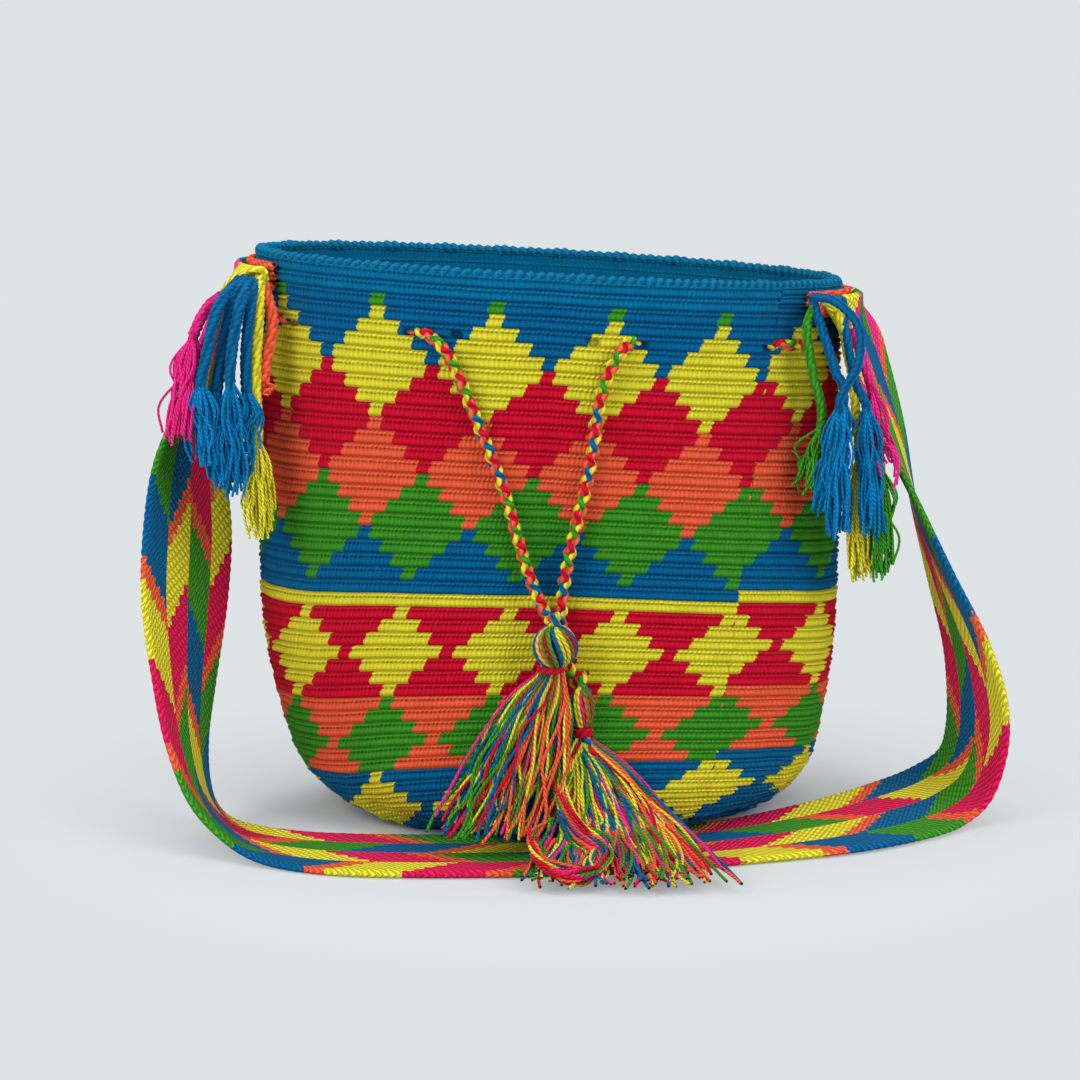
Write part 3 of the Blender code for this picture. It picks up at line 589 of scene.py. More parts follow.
def tubes(name, lines, material, sides=6):
    """One mesh of round yarns. Each line has points, a radius or radii, and a colour."""
    all_points, all_faces, all_colours, all_uv = [], [], [], []
    start = 0
    angles = 2 * np.pi * np.arange(sides) / sides
    for points, radius, colour in lines:
        count = len(points)
        _, across, other = line_frames(points)
        radii = np.full(count, radius) if np.isscalar(radius) else np.asarray(radius)
        ring = across[:, None, :] * np.cos(angles)[None, :, None]
        ring = ring + other[:, None, :] * np.sin(angles)[None, :, None]
        all_points.append((points[:, None, :] + ring * radii[:, None, None]).reshape(-1, 3))
        i = np.arange(count - 1)[:, None]
        j = np.arange(sides)[None, :]
        k = (j + 1) % sides
        quads = np.stack([i * sides + j, i * sides + k, (i + 1) * sides + k, (i + 1) * sides + j], -1)
        all_faces.append(quads.reshape(-1, 4) + start)
        run = running_length(points) / (2 * float(np.mean(radii)))
        u0 = np.broadcast_to(run[:-1, None], (count - 1, sides))
        u1 = np.broadcast_to(run[1:, None], (count - 1, sides))
        v0 = np.broadcast_to(j / sides, (count - 1, sides))
        v1 = np.broadcast_to((j + 1) / sides, (count - 1, sides))
        corners = [np.stack(pair, -1) for pair in ((u0, v0), (u0, v1), (u1, v1), (u1, v0))]
        all_uv.append(np.stack(corners, 2).reshape(-1, 2))
        colour = np.asarray(colour, float)
        if colour.ndim == 1:
            colour = np.broadcast_to(colour, (count - 1, 3))
        all_colours.append(np.repeat(colour, sides, axis=0))
        start += count * sides
    points, faces = np.concatenate(all_points), np.concatenate(all_faces)
    return mesh_from(name, points, faces, np.concatenate(all_colours), np.concatenate(all_uv), material)


# The body
def section(z):
    share = 1.0 - (1.0 - np.clip(z / TAPER_HEIGHT, 0.0, 1.0)) ** 2
    half_width = BASE_HALF_WIDTH + (RIM_HALF_WIDTH - BASE_HALF_WIDTH) * share
    half_depth = BASE_HALF_DEPTH + (RIM_HALF_DEPTH - BASE_HALF_DEPTH) * share
    return half_width, half_depth, TOP_LEAN * share


def edge_share(z):
    inside = np.clip(1.0 - z / BASE_EDGE_HEIGHT, 0.0, 1.0)
    return BASE_FLAT_SHARE + (1.0 - BASE_FLAT_SHARE) * np.sqrt(1.0 - inside**2)


def base_lift(x, y):
    back_edge = -LIFT_DEPTH_SHARE * BASE_HALF_DEPTH + LIFT_SKEW * x + LIFT_BOW * x * x
    share = np.clip((back_edge - y) / LIFT_RAMP + 1.0, 0.0, 1.0)
    return LIFT * share * share * (3 - 2 * share)


def body_middle(turn, z, flat=1.0):
    """The wall's middle surface. On the flat base, flat is the share of the base's reach that is left."""
    half_width, half_depth, lean = section(z)
    share = edge_share(z) * flat
    x = half_width * share * np.sin(turn)
    y = -half_depth * share * np.cos(turn)
    crease = np.exp(-((x / CREASE_HALF_WIDTH) ** 2)) * (y < 0)
    y = y + CREASE_DEPTH * crease * np.clip((z - 0.05) / 0.08, 0.0, 1.0)
    low = np.clip(1.0 - z / BASE_EDGE_HEIGHT, 0.0, 1.0)
    height = z + low * (WALL / 2 + RIDGE_DEPTH + base_lift(x, y))
    return np.stack([x + lean, y, height], -1)


def rim_height(turn):
    return BAG_HEIGHT - RIM_TILT * RIM_HALF_WIDTH * np.sin(turn)


ARC_TURNS = np.linspace(0.0, 2 * math.pi, 1441)
ARC_LENGTHS = running_length(
    np.stack([RIM_HALF_WIDTH * np.sin(ARC_TURNS), RIM_HALF_DEPTH * np.cos(ARC_TURNS)], -1)
)
RIM_LENGTH = float(ARC_LENGTHS[-1])
PAIR_PITCH = RIM_LENGTH / EYELET_PAIRS


def turn_at(share):
    """The turn at a share of the rim's length, counted from the front towards +X."""
    return np.interp(np.mod(share, 1.0) * RIM_LENGTH, ARC_LENGTHS, ARC_TURNS)


class Meridians:
    """Heights against the share of the way down the body, for a table of turns."""

    def __init__(self):
        self.turns = np.linspace(0.0, 2 * math.pi, 181)
        self.shares = np.linspace(0.0, 1.0, 401)
        self.heights = np.zeros((len(self.turns), len(self.shares)))
        edge = BASE_EDGE_HEIGHT * (1 - np.sin(math.pi / 2 * np.linspace(0, 1, 81)[1:]))
        for i, turn in enumerate(self.turns):
            z = np.concatenate([np.linspace(rim_height(turn), BASE_EDGE_HEIGHT, 160), edge])
            run = running_length(body_middle(np.full_like(z, turn), z))
            self.heights[i] = np.interp(self.shares * run[-1], run, z)

    def at(self, turn, share):
        """Height, and share of the flat base left, at turns and shares of the way down."""
        flat = np.clip(1.0 - np.clip(share - 1.0, 0.0, None) / BASE_SPAN, 0.0, 1.0)
        a = np.mod(turn, 2 * math.pi) / (2 * math.pi) * (len(self.turns) - 1)
        b = np.clip(share, 0.0, 1.0) * (len(self.shares) - 1)
        a0 = np.clip(a.astype(int), 0, len(self.turns) - 2)
        b0 = np.clip(b.astype(int), 0, len(self.shares) - 2)
        fa, fb = a - a0, b - b0
        table = self.heights
        upper = table[a0, b0] * (1 - fb) + table[a0, b0 + 1] * fb
        lower = table[a0 + 1, b0] * (1 - fb) + table[a0 + 1, b0 + 1] * fb
        return upper * (1 - fa) + lower * fa, flat


MERIDIANS = Meridians()


def share_down(q, turn):
    """Share of the way down at a count of rounds."""
    u = np.clip(q, 0.0, ROUNDS) / ROUNDS
    side = np.sin(turn)
    drift = sum(c * u ** (i + 1) for i, c in enumerate(ROUND_DRIFT))
    drift = drift + sum(c * u ** (i + 1) for i, c in enumerate(ROUND_DRIFT_SIDE)) * side
    return (np.clip(q, 0.0, ROUNDS) + drift) / ROUNDS


def drift_terms(way, q):
    f = 4 * way
    u = np.clip(q, 0.0, ROUNDS) / ROUNDS
    terms = (1, u, u * u, u**3, f, f * u, f * u * u, f * f, f * f * u, f * f * u * u, f**3, f**3 * u)
    return sum(c * t for c, t in zip(BLOCK_DRIFT, terms))


def block_drift(way, q):
    """Blocks by which the pattern is turned at a share of the way round, in -0.5 to 0.5."""
    near = np.clip(way, -DRIFT_LIMIT, DRIFT_LIMIT)
    drift = drift_terms(near, q)
    left = drift_terms(np.full_like(way, -DRIFT_LIMIT), q)
    right = drift_terms(np.full_like(way, DRIFT_LIMIT), q)
    span = 1.0 - 2 * DRIFT_LIMIT
    past = np.where(way > DRIFT_LIMIT, way - DRIFT_LIMIT, 0.0)
    past = np.where(way < -DRIFT_LIMIT, way + 1.0 - DRIFT_LIMIT, past)
    back = right + (left - right) * (3 * (past / span) ** 2 - 2 * (past / span) ** 3)
    return np.where(np.abs(way) > DRIFT_LIMIT, back, drift)


def way_round(blocks, q):
    """Share of the way round at which a column of the pattern stands, counted from the front."""
    way = blocks / BLOCKS - 0.12
    for _ in range(12):
        wrapped = np.mod(way + 0.5, 1.0) - 0.5
        way = (blocks - block_drift(wrapped, q)) / BLOCKS
    return way


def wall_place(turn, share):
    z, flat = MERIDIANS.at(turn, share)
    return body_middle(turn, z, flat)


def wall_normal(turn, share):
    step = 1e-3
    side = wall_place(turn + step, share) - wall_place(turn - step, share)
    low = wall_place(turn, np.minimum(share + step, 1.0))
    high = wall_place(turn, np.clip(share - step, 0.0, 1.0 - step))
    normal = np.cross(low - high, side)
    return normal / np.maximum(np.linalg.norm(normal, axis=-1, keepdims=True), 1e-12)


def wall_point(arc, rounds, offset):
    """Points at arcs along the rim and even rounds down, moved out of the wall by offset."""
    arc, rounds, offset = np.broadcast_arrays(*(np.asarray(v, float) for v in (arc, rounds, offset)))
    turn = turn_at(arc / RIM_LENGTH)
    share = rounds / ROUNDS
    return wall_place(turn, share) + wall_normal(turn, share) * offset[..., None]


def front_face(x, z):
    """y of the outermost surface of the body's front at a place."""
    half_width, half_depth, lean = section(z)
    share = edge_share(z)
    across = np.minimum(1.0, np.abs(x - lean) / (half_width * share))
    return -half_depth * share * np.sqrt(1.0 - across * across) - WALL / 2 - RIDGE_DEPTH


def body_surface(blocks, rounds, offset):
    """Points of the body at pattern columns and rounds, moved out by offset. The rounds are one spiral."""
    climb = -1.0 + (blocks - JOG_BLOCK) / BLOCKS
    q = rounds + climb * np.clip(rounds / 3.0, 0.0, 1.0)
    way = way_round(blocks, q)
    turn = turn_at(way)
    share = share_down(q, turn)
    # Past the last round the base's rounds close on its middle.
    last = share_down(np.full_like(q, ROUNDS) + climb, turn)
    inner = np.clip((rounds - ROUNDS) / BASE_ROUNDS, 0.0, 1.0)
    share = np.where(rounds > ROUNDS, last + (1.0 + BASE_SPAN - last) * inner, share)
    return wall_place(turn, share) + wall_normal(turn, share) * offset[..., None], way, q


PALETTE = np.array([BLUE, YELLOW, CRIMSON, ORANGE, GREEN])
STRAP_PALETTE = np.array([BLUE, YELLOW, STRAP_CRIMSON, ORANGE, GREEN])


def block_colour(rounds, blocks):
    """Colours of the blocks. near and far are a column's distances from the two kinds of diamond's middle."""
    k = np.asarray(rounds, int)
    m = np.asarray(np.floor(blocks + 0.5), int)
    near = np.abs(np.mod(m + 4, 8) - 4)
    far = 4 - near
    pick = np.full(k.shape, IN_BLUE)
    rules = (
        (2, 2, IN_GREEN, near <= 0),
        (3, 6, IN_YELLOW, near <= k - 3),
        (7, 14, IN_CRIMSON, near <= 4),
        (7, 10, IN_YELLOW, near <= 10 - k),
        (11, 14, IN_ORANGE, near <= k - 11),
        (15, 18, IN_GREEN, near <= 4),
        (15, 18, IN_ORANGE, near <= 18 - k),
        (19, 22, IN_GREEN, far <= 22 - k),
        (24, 24, IN_YELLOW, near <= 4),
        (25, 31, IN_CRIMSON, near <= 4),
        (25, 31, IN_YELLOW, far <= 3 - np.abs(k - 28)),
        (32, 37, IN_ORANGE, near <= 4),
        (32, 37, IN_GREEN, far <= 3 - np.abs(k - 35)),
        (38, 44, IN_YELLOW, far <= 3 - np.abs(k - 41)),
    )
    for first, last, colour, inside in rules:
        pick = np.where((k >= first) & (k <= last) & inside, colour, pick)
    colours = PALETTE[pick]
    rim = (k < 2)[..., None]
    return np.where(rim, np.array(RIM_BLUE) * 0.5 + np.array(BLUE) * 0.5, colours)


def stitch_relief(blocks, rounds):
    """How far a point of the crochet stands out of the wall's face."""
    part = np.mod(rounds, 1.0)
    base = np.interp(part, ROUND_SAMPLES + (1.0,), ROUND_RELIEF + (ROUND_RELIEF[0],))
    stitch = blocks * 3.0
    chain = np.exp(-(((part - 0.15) / 0.10) ** 2))
    legs = np.clip((part - 0.30) / 0.15, 0.0, 1.0)
    loops = 0.00055 * np.cos(2 * math.pi * (stitch + 2.0 * part)) * chain
    ribs = 0.00034 * np.cos(2 * math.pi * (stitch - 0.5)) * legs
    uneven = 0.0004 * np.sin(1.9 * blocks + 0.8 * rounds) * np.sin(0.63 * blocks - 1.3 * rounds)
    return base + loops + ribs + uneven


def eyelet_arcs():
    middles = [FIRST_PAIR_ARC + PAIR_PITCH * i for i in range(EYELET_PAIRS)]
    return [middle + side * EYELET_REACH for middle in middles for side in (-1, 1)]


def eyelet_depth(way, q):
    """How deep the pits of the eyelets are at a place, from 0 to 1."""
    depth = np.zeros_like(way)
    row_height = BAG_HEIGHT / ROUNDS * 1.1
    for arc in eyelet_arcs():
        across = (np.mod(way - arc / RIM_LENGTH + 0.5, 1.0) - 0.5) * RIM_LENGTH
        down = (q - EYELET_ROW) * row_height
        apart = (across / EYELET_HALF[0]) ** 2 + (down / EYELET_HALF[1]) ** 2
        depth = np.maximum(depth, np.clip(1.6 * (1.0 - apart), 0.0, 1.0))
    return depth


def sampled_rounds(first, last, samples):
    return np.array([k + part for k in range(first, last) for part in samples] + [last])


def body_piece(name, material, block_range, per_block, round_values, relief_scale=1.0, facing=1):
    columns = int(round((block_range[1] - block_range[0]) * per_block)) + 1
    blocks = np.linspace(block_range[0], block_range[1], columns)
    grid_b, grid_r = np.meshgrid(blocks, round_values)
    relief = stitch_relief(grid_b, grid_r) * relief_scale
    _, way, q = body_surface(grid_b, grid_r, np.zeros_like(grid_b))
    pit = eyelet_depth(way, q)
    offset = facing * (WALL / 2 + relief) - facing * EYELET_DEPTH * pit
    points, _, _ = body_surface(grid_b, grid_r, offset)
    points[..., 2] = np.maximum(points[..., 2], FLOOR_GAP)
    mid_b = (grid_b[:-1, :-1] + grid_b[:-1, 1:]) / 2
    mid_r = (grid_r[:-1, :-1] + grid_r[1:, :-1]) / 2
    # The stitches lean, so a block's sides do too.
    lean = 0.28 * (np.mod(mid_r, 1.0) - 0.5)
    colours = block_colour(mid_r, mid_b + lean)
    # Painted shade: the colour is darkened in the grooves between rounds and under the loops, and slightly
    # lightened on the ridges.
    painted_groove_shade = np.interp(np.mod(mid_r, 1.0), ROUND_SAMPLES + (1.0,), ROUND_PAINTED_SHADE + (ROUND_PAINTED_SHADE[0],))
    # The eyelet pits are painted dark as shade, deepest at their middles.
    painted_pit_shade = (pit[:-1, :-1] + pit[1:, 1:]) / 2
    colours = colours * painted_groove_shade[..., None] * (1.0 - 0.9 * painted_pit_shade)[..., None]
    faces = grid_faces(len(round_values), columns)
    if facing < 0:
        faces = faces[:, ::-1]
    uv = np.stack([grid_b, grid_r], -1).reshape(-1, 2)[faces.ravel()]
    obj = mesh_from(name, points.reshape(-1, 3), faces, colours.reshape(-1, 3), uv, material)
    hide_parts("bag_body")


def rim_roll(material):
    """The rim's edge, a row of slanting stitches that rolls over the wall's top."""
    per_block = 10
    blocks = np.linspace(JOG_BLOCK, JOG_BLOCK + BLOCKS, BLOCKS * per_block + 1)
    angles = np.linspace(-0.5 * math.pi, 1.5 * math.pi, 15)
    grid_b, grid_a = np.meshgrid(blocks, angles)
    middle, _, _ = body_surface(grid_b, np.zeros_like(grid_b), np.zeros_like(grid_b))
    outer, _, _ = body_surface(grid_b, np.zeros_like(grid_b), np.full_like(grid_b, 0.001))
    normal = (outer - middle) / 0.001
    knob = 0.5 + 0.5 * np.cos(2 * math.pi * (1.5 * grid_b) + 1.6 * np.abs(grid_a - 0.5 * math.pi))
    rise = ROLL_UNEVEN * np.sin(grid_b * 2.1) * np.sin(grid_b * 0.7 + 1.0)
    radius = ROLL_RADIUS + ROLL_KNOB * knob + rise
    points = middle + normal * (radius * np.cos(grid_a))[..., None] * 1.15
    points = points + np.array([0.0, 0.0, 1.0]) * (radius * np.sin(grid_a))[..., None]
    # Painted shade: the colour is lighter on the knobs and darker in the dips between them.
    shade = 0.50 + 0.60 * knob[:-1, :-1]
    colours = np.array(RIM_BLUE) * shade[..., None]
    faces = grid_faces(len(angles), len(blocks))[:, ::-1]
    uv = np.stack([grid_b, grid_a], -1).reshape(-1, 2)[faces.ravel()]
    obj = mesh_from("rim_roll", points.reshape(-1, 3), faces, colours.reshape(-1, 3), uv, material)
    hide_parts("bag_body")


def make_body():
    material = crochet_material()
    rounds = sampled_rounds(0, ROUNDS, ROUND_SAMPLES)
    for name, span, per_block in (
        ("crochet_front_right", (JOG_BLOCK, 38.5), 11),
        ("crochet_back", (38.5, 90.5), 3),
        ("crochet_front_left", (90.5, 111.5), 11),
        ("crochet_front", (111.5, JOG_BLOCK + BLOCKS), 11),
    ):
        body_piece(name, material, span, per_block, rounds)
    whole = (JOG_BLOCK, JOG_BLOCK + BLOCKS)
    base = sampled_rounds(ROUNDS, ROUNDS + BASE_ROUNDS, (0.0, 0.2, 0.55, 0.85))
    body_piece("crochet_base", material, whole, 2, base)
    upper = sampled_rounds(0, 13, (0.0, 0.15, 0.33, 0.7))
    lower = sampled_rounds(13, ROUNDS + BASE_ROUNDS, (0.0,))
    inner = np.concatenate([upper[:-1], lower])
    body_piece("crochet_inside", material, whole, 3, inner, 0.5, -1)
    rim_roll(material)


# The strap
def seam_offset():
    return WALL / 2 + RIDGE_DEPTH + SEAM_GAP + SEAM_THICKNESS / 2


def seated_row(side, rounds, columns, offset):
    """Points across the body's end, front to back, at an offset from the wall's middle."""
    shift = RIGHT_SEAM_SHIFT if side > 0 else 0.0
    across = (np.linspace(0.0, 1.0, columns) - 0.5) * STRAP_WIDTH
    arc = side * (RIM_LENGTH / 4 - shift) + side * across
    return wall_point(arc, rounds, offset)


def strap_rows(pitch, columns):
    """Rows of points across the strap at an even pitch along it, with their running length."""
    seat = seam_offset() + SEAM_THICKNESS / 2 + CLEARANCE + STRAP_THICKNESS / 2
    ends = {}
    for side in (-1, 1):
        rows = enumerate(STRAP_SEAT_ROUNDS)
        ends[side] = [seated_row(side, rounds, columns, seat + i * STRAP_END_FLARE) for i, rounds in rows]
    stations = list(ends[-1])
    shares = np.linspace(-0.5, 0.5, columns)[:, None]
    for centre, across in STRAP_ROUTE:
        direction = np.array(across) / np.linalg.norm(across) * STRAP_WIDTH
        stations.append(np.array(centre) + direction * shares)
    stations += ends[1][::-1]
    flat = smooth_line(np.array(stations).reshape(len(stations), -1), 40)
    dense = flat.reshape(len(flat), columns, 3)
    run = running_length(dense.mean(axis=1))
    at = np.linspace(0.0, run[-1], int(round(run[-1] / pitch)) + 1)
    rows = np.stack([np.interp(at, run, values) for values in flat.T], -1)
    return rows.reshape(len(at), columns, 3), at


def strap_colour(along, across):
    """Colours of the chevrons at places along the strap and shares across it."""
    column = np.clip((across * 4).astype(int), 0, 3)
    part = across * 4 - column
    part = np.where(column % 2 == 0, part, 1.0 - part)
    out = np.abs(along - STRAP_MIDDLE) + STRAP_SLANT * part - np.array(STRAP_SHIFTS)[column]
    cycle = sum(width for width, _ in STRAP_STRIPES)
    place = np.mod(out - STRAP_PHASE, cycle)
    pick = np.full(along.shape, IN_BLUE)
    start = 0.0
    for width, colour in STRAP_STRIPES:
        pick = np.where((place >= start) & (place < start + width), colour, pick)
        start += width
    return STRAP_PALETTE[pick]


def make_strap(material):
    columns = STRAP_COLUMNS
    rows, along = strap_rows(STRAP_ROW_PITCH, columns)
    step_along = np.gradient(rows, axis=0)
    step_across = np.gradient(rows, axis=1)
    normal = np.cross(step_along, step_across)
    normal /= np.linalg.norm(normal, axis=-1, keepdims=True)
    side = step_across / np.linalg.norm(step_across, axis=-1, keepdims=True)
    share = np.linspace(0.0, 1.0, columns)
    edge = np.clip((np.abs(2 * share - 1) - 0.93) / 0.07, 0.0, 1.0)
    thick = STRAP_THICKNESS / 2 * np.sqrt(np.maximum(1.0 - edge**2, 0.05))
    thick = thick * (1.0 + 0.25 * np.exp(-(((np.abs(2 * share - 1) - 0.93) / 0.05) ** 2)))
    loops = np.abs(np.sin(math.pi * along / EDGE_LOOP_PITCH))[:, None, None]
    reach = side * (np.sign(share - 0.5) * (edge > 0) * EDGE_LOOP_REACH)[None, :, None] * loops
    top = rows + reach + normal * (thick * 0.92)[None, :, None]
    under = rows + reach - normal * (thick * 0.92)[None, :, None]
    ring = np.concatenate([top, under[:, ::-1], top[:, :1]], axis=1)
    ring_share = np.concatenate([share, share[::-1], share[:1]])
    count = ring.shape[1]
    grid_s, grid_v = np.meshgrid(along, ring_share, indexing="ij")
    mid_s = (grid_s[:-1, :-1] + grid_s[1:, :-1]) / 2
    mid_v = (grid_v[:-1, :-1] + grid_v[:-1, 1:]) / 2
    teeth = TOOTH_REACH * np.sign(np.sin(2 * math.pi * mid_v * STRAP_WIDTH / TOOTH_PITCH))
    colours = strap_colour(mid_s + teeth, np.clip(mid_v, 0.0, 0.9999))
    outer = np.arange(count - 1) >= columns - 1
    high = np.clip((np.abs(mid_s - STRAP_MIDDLE) - PINK_FROM) / PINK_RAMP, 0.0, 1.0) * outer[None, :]
    red = (colours == STRAP_CRIMSON).all(axis=-1)
    bright = (high * red)[..., None]
    colours = colours * (1 - bright) + np.array(PINK) * bright
    fold = np.abs(np.mod(grid_v * 4, 2.0) - 1.0) * STRAP_WIDTH / 4
    uv = np.stack([grid_v * STRAP_WIDTH, grid_s - 0.9 * fold], -1) * 1000.0
    sides = grid_faces(len(along), count)
    # The two ends are closed by quads from the top to the underside.
    c = np.arange(columns - 1)
    cap = np.stack([c, c + 1, 2 * columns - 2 - c, 2 * columns - 1 - c], -1)
    last_cap = cap[:, ::-1] + (len(along) - 1) * count
    quads = np.concatenate([sides, cap, last_cap])
    shown = np.concatenate([colours.reshape(-1, 3), colours[0, : columns - 1], colours[-1, : columns - 1]])
    welded = quads // count * (count - 1) + quads % count % (count - 1)
    points = ring[:, :-1].reshape(-1, 3)
    obj = mesh_from("woven_strap", points, welded, shown, uv.reshape(-1, 2)[quads.ravel()], material)
    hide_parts("shoulder_strap")
    return obj, float(along[-1])


def make_seams(rope):
    """Coral crochet edging over each end of the strap: a row of knots between two twisted cords."""
    for side, name, node in ((-1, "edging_left", "strap_seam_left"), (1, "edging_right", "strap_seam_right")):
        lines = []
        for rounds, radius, wave in ((0.7, 0.0016, 0.0), (1.4, 0.0017, 1.5), (2.1, 0.0016, 3.0)):
            path = resampled(seated_row(side, rounds, 60, seam_offset()), 0.0007)
            _, across, other = line_frames(path)
            run = running_length(path)
            for ply in range(2):
                angle = 2 * math.pi * run / 0.0062 + math.pi * ply + wave
                twist = turned(across, other, angle)
                lines.append((path + twist * radius * 0.55, radius * 0.72, ORANGE))
        obj = tubes(name, lines, rope, 7)
        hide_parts(node)


# The drawstring
def stitch_offset(along):
    """How far the drawstring lies outside the wall's middle, at a distance from a pair's middle."""
    swing = (STITCH_OUTSIDE + STITCH_INSIDE) / 2
    if abs(along) >= STITCH_HALF_LENGTH:
        return -STITCH_INSIDE
    return STITCH_OUTSIDE - swing + swing * math.cos(math.pi * along / STITCH_HALF_LENGTH)


def threaded_points():
    """The drawstring's run from the left eyelet of the first pair, round the back, to the second pair."""
    points = []
    last = 1 - EYELET_PAIRS
    for pair in range(0, -EYELET_PAIRS, -1):
        centre = FIRST_PAIR_ARC + pair * PAIR_PITCH
        steps = [i * STITCH_HALF_LENGTH / 3 for i in range(3, -4, -1)]
        if pair == 0:
            steps = [step for step in steps if step < -STITCH_HALF_LENGTH / 4]
        if pair == last:
            steps = [step for step in steps if step > STITCH_HALF_LENGTH / 4]
        points += [wall_point(centre + along, EYELET_ROW, stitch_offset(along)) for along in steps]
        if pair == last:
            break
        between = PAIR_PITCH - 2 * STITCH_HALF_LENGTH
        for share in (1 / 3, 2 / 3):
            arc = centre - STITCH_HALF_LENGTH - between * share
            points.append(wall_point(arc, EYELET_ROW, -STITCH_INSIDE))
    return points


def hanging_points(route):
    return [np.array([x, front_face(x, z) - off - CORD_DIAMETER / 2, z]) for x, z, off in route]


def head_top(head):
    centre, radius = head
    return np.array(centre) + np.array([0.0, 0.0, radius * 0.95])


def drawstring_line():
    threaded = threaded_points()
    above = np.array([0.0, 0.0, CORD_DIAMETER])
    left = hanging_points(LEFT_END_ROUTE) + [head_top(LEFT_HEAD) + above, head_top(LEFT_HEAD)]
    right_head = head_top(RIGHT_HEAD) + np.array([0.0, 0.0, 0.0045])
    inside_tassel = [np.array(place) for place in (RIGHT_HEAD[0], *RIGHT_CORE)]
    right = hanging_points(RIGHT_END_ROUTE) + [right_head + above, right_head] + inside_tassel
    return smooth_line(left[::-1] + threaded + right, 10)


def make_drawstring(rope):
    line = resampled(drawstring_line(), 0.0011)
    _, across, other = line_frames(line)
    run = running_length(line)
    lines = []
    is_blue = np.mod(run[:-1], CHANGE_PITCH) < CHANGE_BLUE
    changing = np.where(is_blue[:, None], np.array(BLUE), np.array(GREEN))
    strands = ((1, 0.0, YELLOW), (1, math.pi, ORANGE), (-1, 0.0, CRIMSON), (-1, math.pi, changing))
    for way, start, colour in strands:
        angle = way * 2 * math.pi * run / BRAID_PITCH + start
        radius = BRAID_RADIUS + way * BRAID_SWING * np.cos(2 * angle)
        lines.append((line + turned(across, other, angle) * radius[:, None], BRAID_STRAND, colour))
    obj = tubes("braided_drawstring", lines, rope, 8)
    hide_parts("drawstring")
    return obj, line, float(run[-1])


# Tassels
SKIRT_COLOURS = (GREEN, YELLOW, ORANGE, CRIMSON, PINK, BLUE, GREEN, ORANGE, YELLOW, BLUE)


def skirt_lines(stations, count, seed, loose):
    """Yarns of a skirt, each at its own place in the bundle, which drifts on the way down."""
    rng = np.random.default_rng(seed)
    stations = np.asarray(stations, float)
    lines = []
    for i in range(count):
        angle = rng.uniform(0.0, 2 * math.pi)
        reach = math.sqrt(rng.uniform(0.0, 1.0))
        drift = rng.normal(0.0, loose, (len(stations), 2))
        drift[:3] *= 0.3
        drift = np.cumsum(drift, axis=0)
        a = np.clip(reach * math.cos(angle) + drift[:, 0], -1.15, 1.15)
        b = np.clip(reach * math.sin(angle) + drift[:, 1], -1.0, 1.0)
        points = stations[:, :3].copy()
        points[:, 0] += a * stations[:, 3]
        points[:, 1] += b * stations[:, 4] * 0.9
        points[:, 2] += b * stations[:, 4] * 0.45
        points[:, 2] = np.maximum(points[:, 2], YARN_RADIUS + 0.0002 + 0.0005 * (i % 4))
        line = resampled(smooth_line(points, 8), 0.0034)
        keep = int(len(line) * rng.uniform(0.86, 1.0))
        shade = rng.uniform(0.88, 1.10)
        colour = np.array(SKIRT_COLOURS[i % len(SKIRT_COLOURS)]) * shade
        lines.append((line[:keep], YARN_RADIUS * rng.uniform(0.9, 1.1), colour))
    return lines


def curl_lines(seed):
    """The yarns of the right tassel that fold back in a curl on the floor."""
    rng = np.random.default_rng(seed)
    lines = []
    route = np.array(CURL_ROUTE)
    for i in range(CURL_YARNS):
        side = rng.uniform(-1.0, 1.0)
        points = route + rng.normal(0.0, 0.0012, route.shape)
        spread = np.linspace(0.2, 1.0, len(route))[:, None]
        away = points - np.array(CURL_MIDDLE)
        points = points + away * spread * side * 0.34
        points[:, 2] = np.maximum(points[:, 2] + 0.0035 * side, YARN_RADIUS + 0.0003)
        line = resampled(smooth_line(points, 8), 0.0030)
        keep = int(len(line) * rng.uniform(0.62, 1.0))
        colour = np.array(SKIRT_COLOURS[(i * 3) % len(SKIRT_COLOURS)]) * rng.uniform(0.9, 1.1)
        lines.append((line[:keep], YARN_RADIUS, colour))
    return lines


def head_lines(head, count, swirl, stretch, seed):
    """Loops of yarn over a tassel's head, from its top to its tie."""
    rng = np.random.default_rng(seed)
    centre, radius = np.array(head[0]), head[1]
    lines = []
    for i in range(count):
        start = 2 * math.pi * i / count
        polar = np.linspace(0.10 * math.pi, 0.92 * math.pi, 14)
        angle = start + swirl * (polar / math.pi) + rng.normal(0.0, 0.08)
        lift = radius * (1.0 + 0.05 * rng.normal())
        x = lift * np.sin(polar) * np.cos(angle)
        y = lift * np.sin(polar) * np.sin(angle)
        z = lift * stretch * np.cos(polar)
        colour = np.array(SKIRT_COLOURS[(i * 3 + seed) % len(SKIRT_COLOURS)]) * rng.uniform(0.85, 1.1)
        lines.append((centre + np.stack([x, y, z], -1), HEAD_YARN_RADIUS, colour))
    return lines


def ring_lines(centre, radius, turns, rise):
    """A tie: yarn wound round a neck."""
    angle = np.linspace(0.0, 2 * math.pi * turns, int(22 * turns))
    x = radius * np.cos(angle)
    y = radius * np.sin(angle)
    z = np.linspace(-rise, rise, len(angle))
    return [(np.array(centre) + np.stack([x, y, z], -1), TIE_YARN_RADIUS, CRIMSON)]


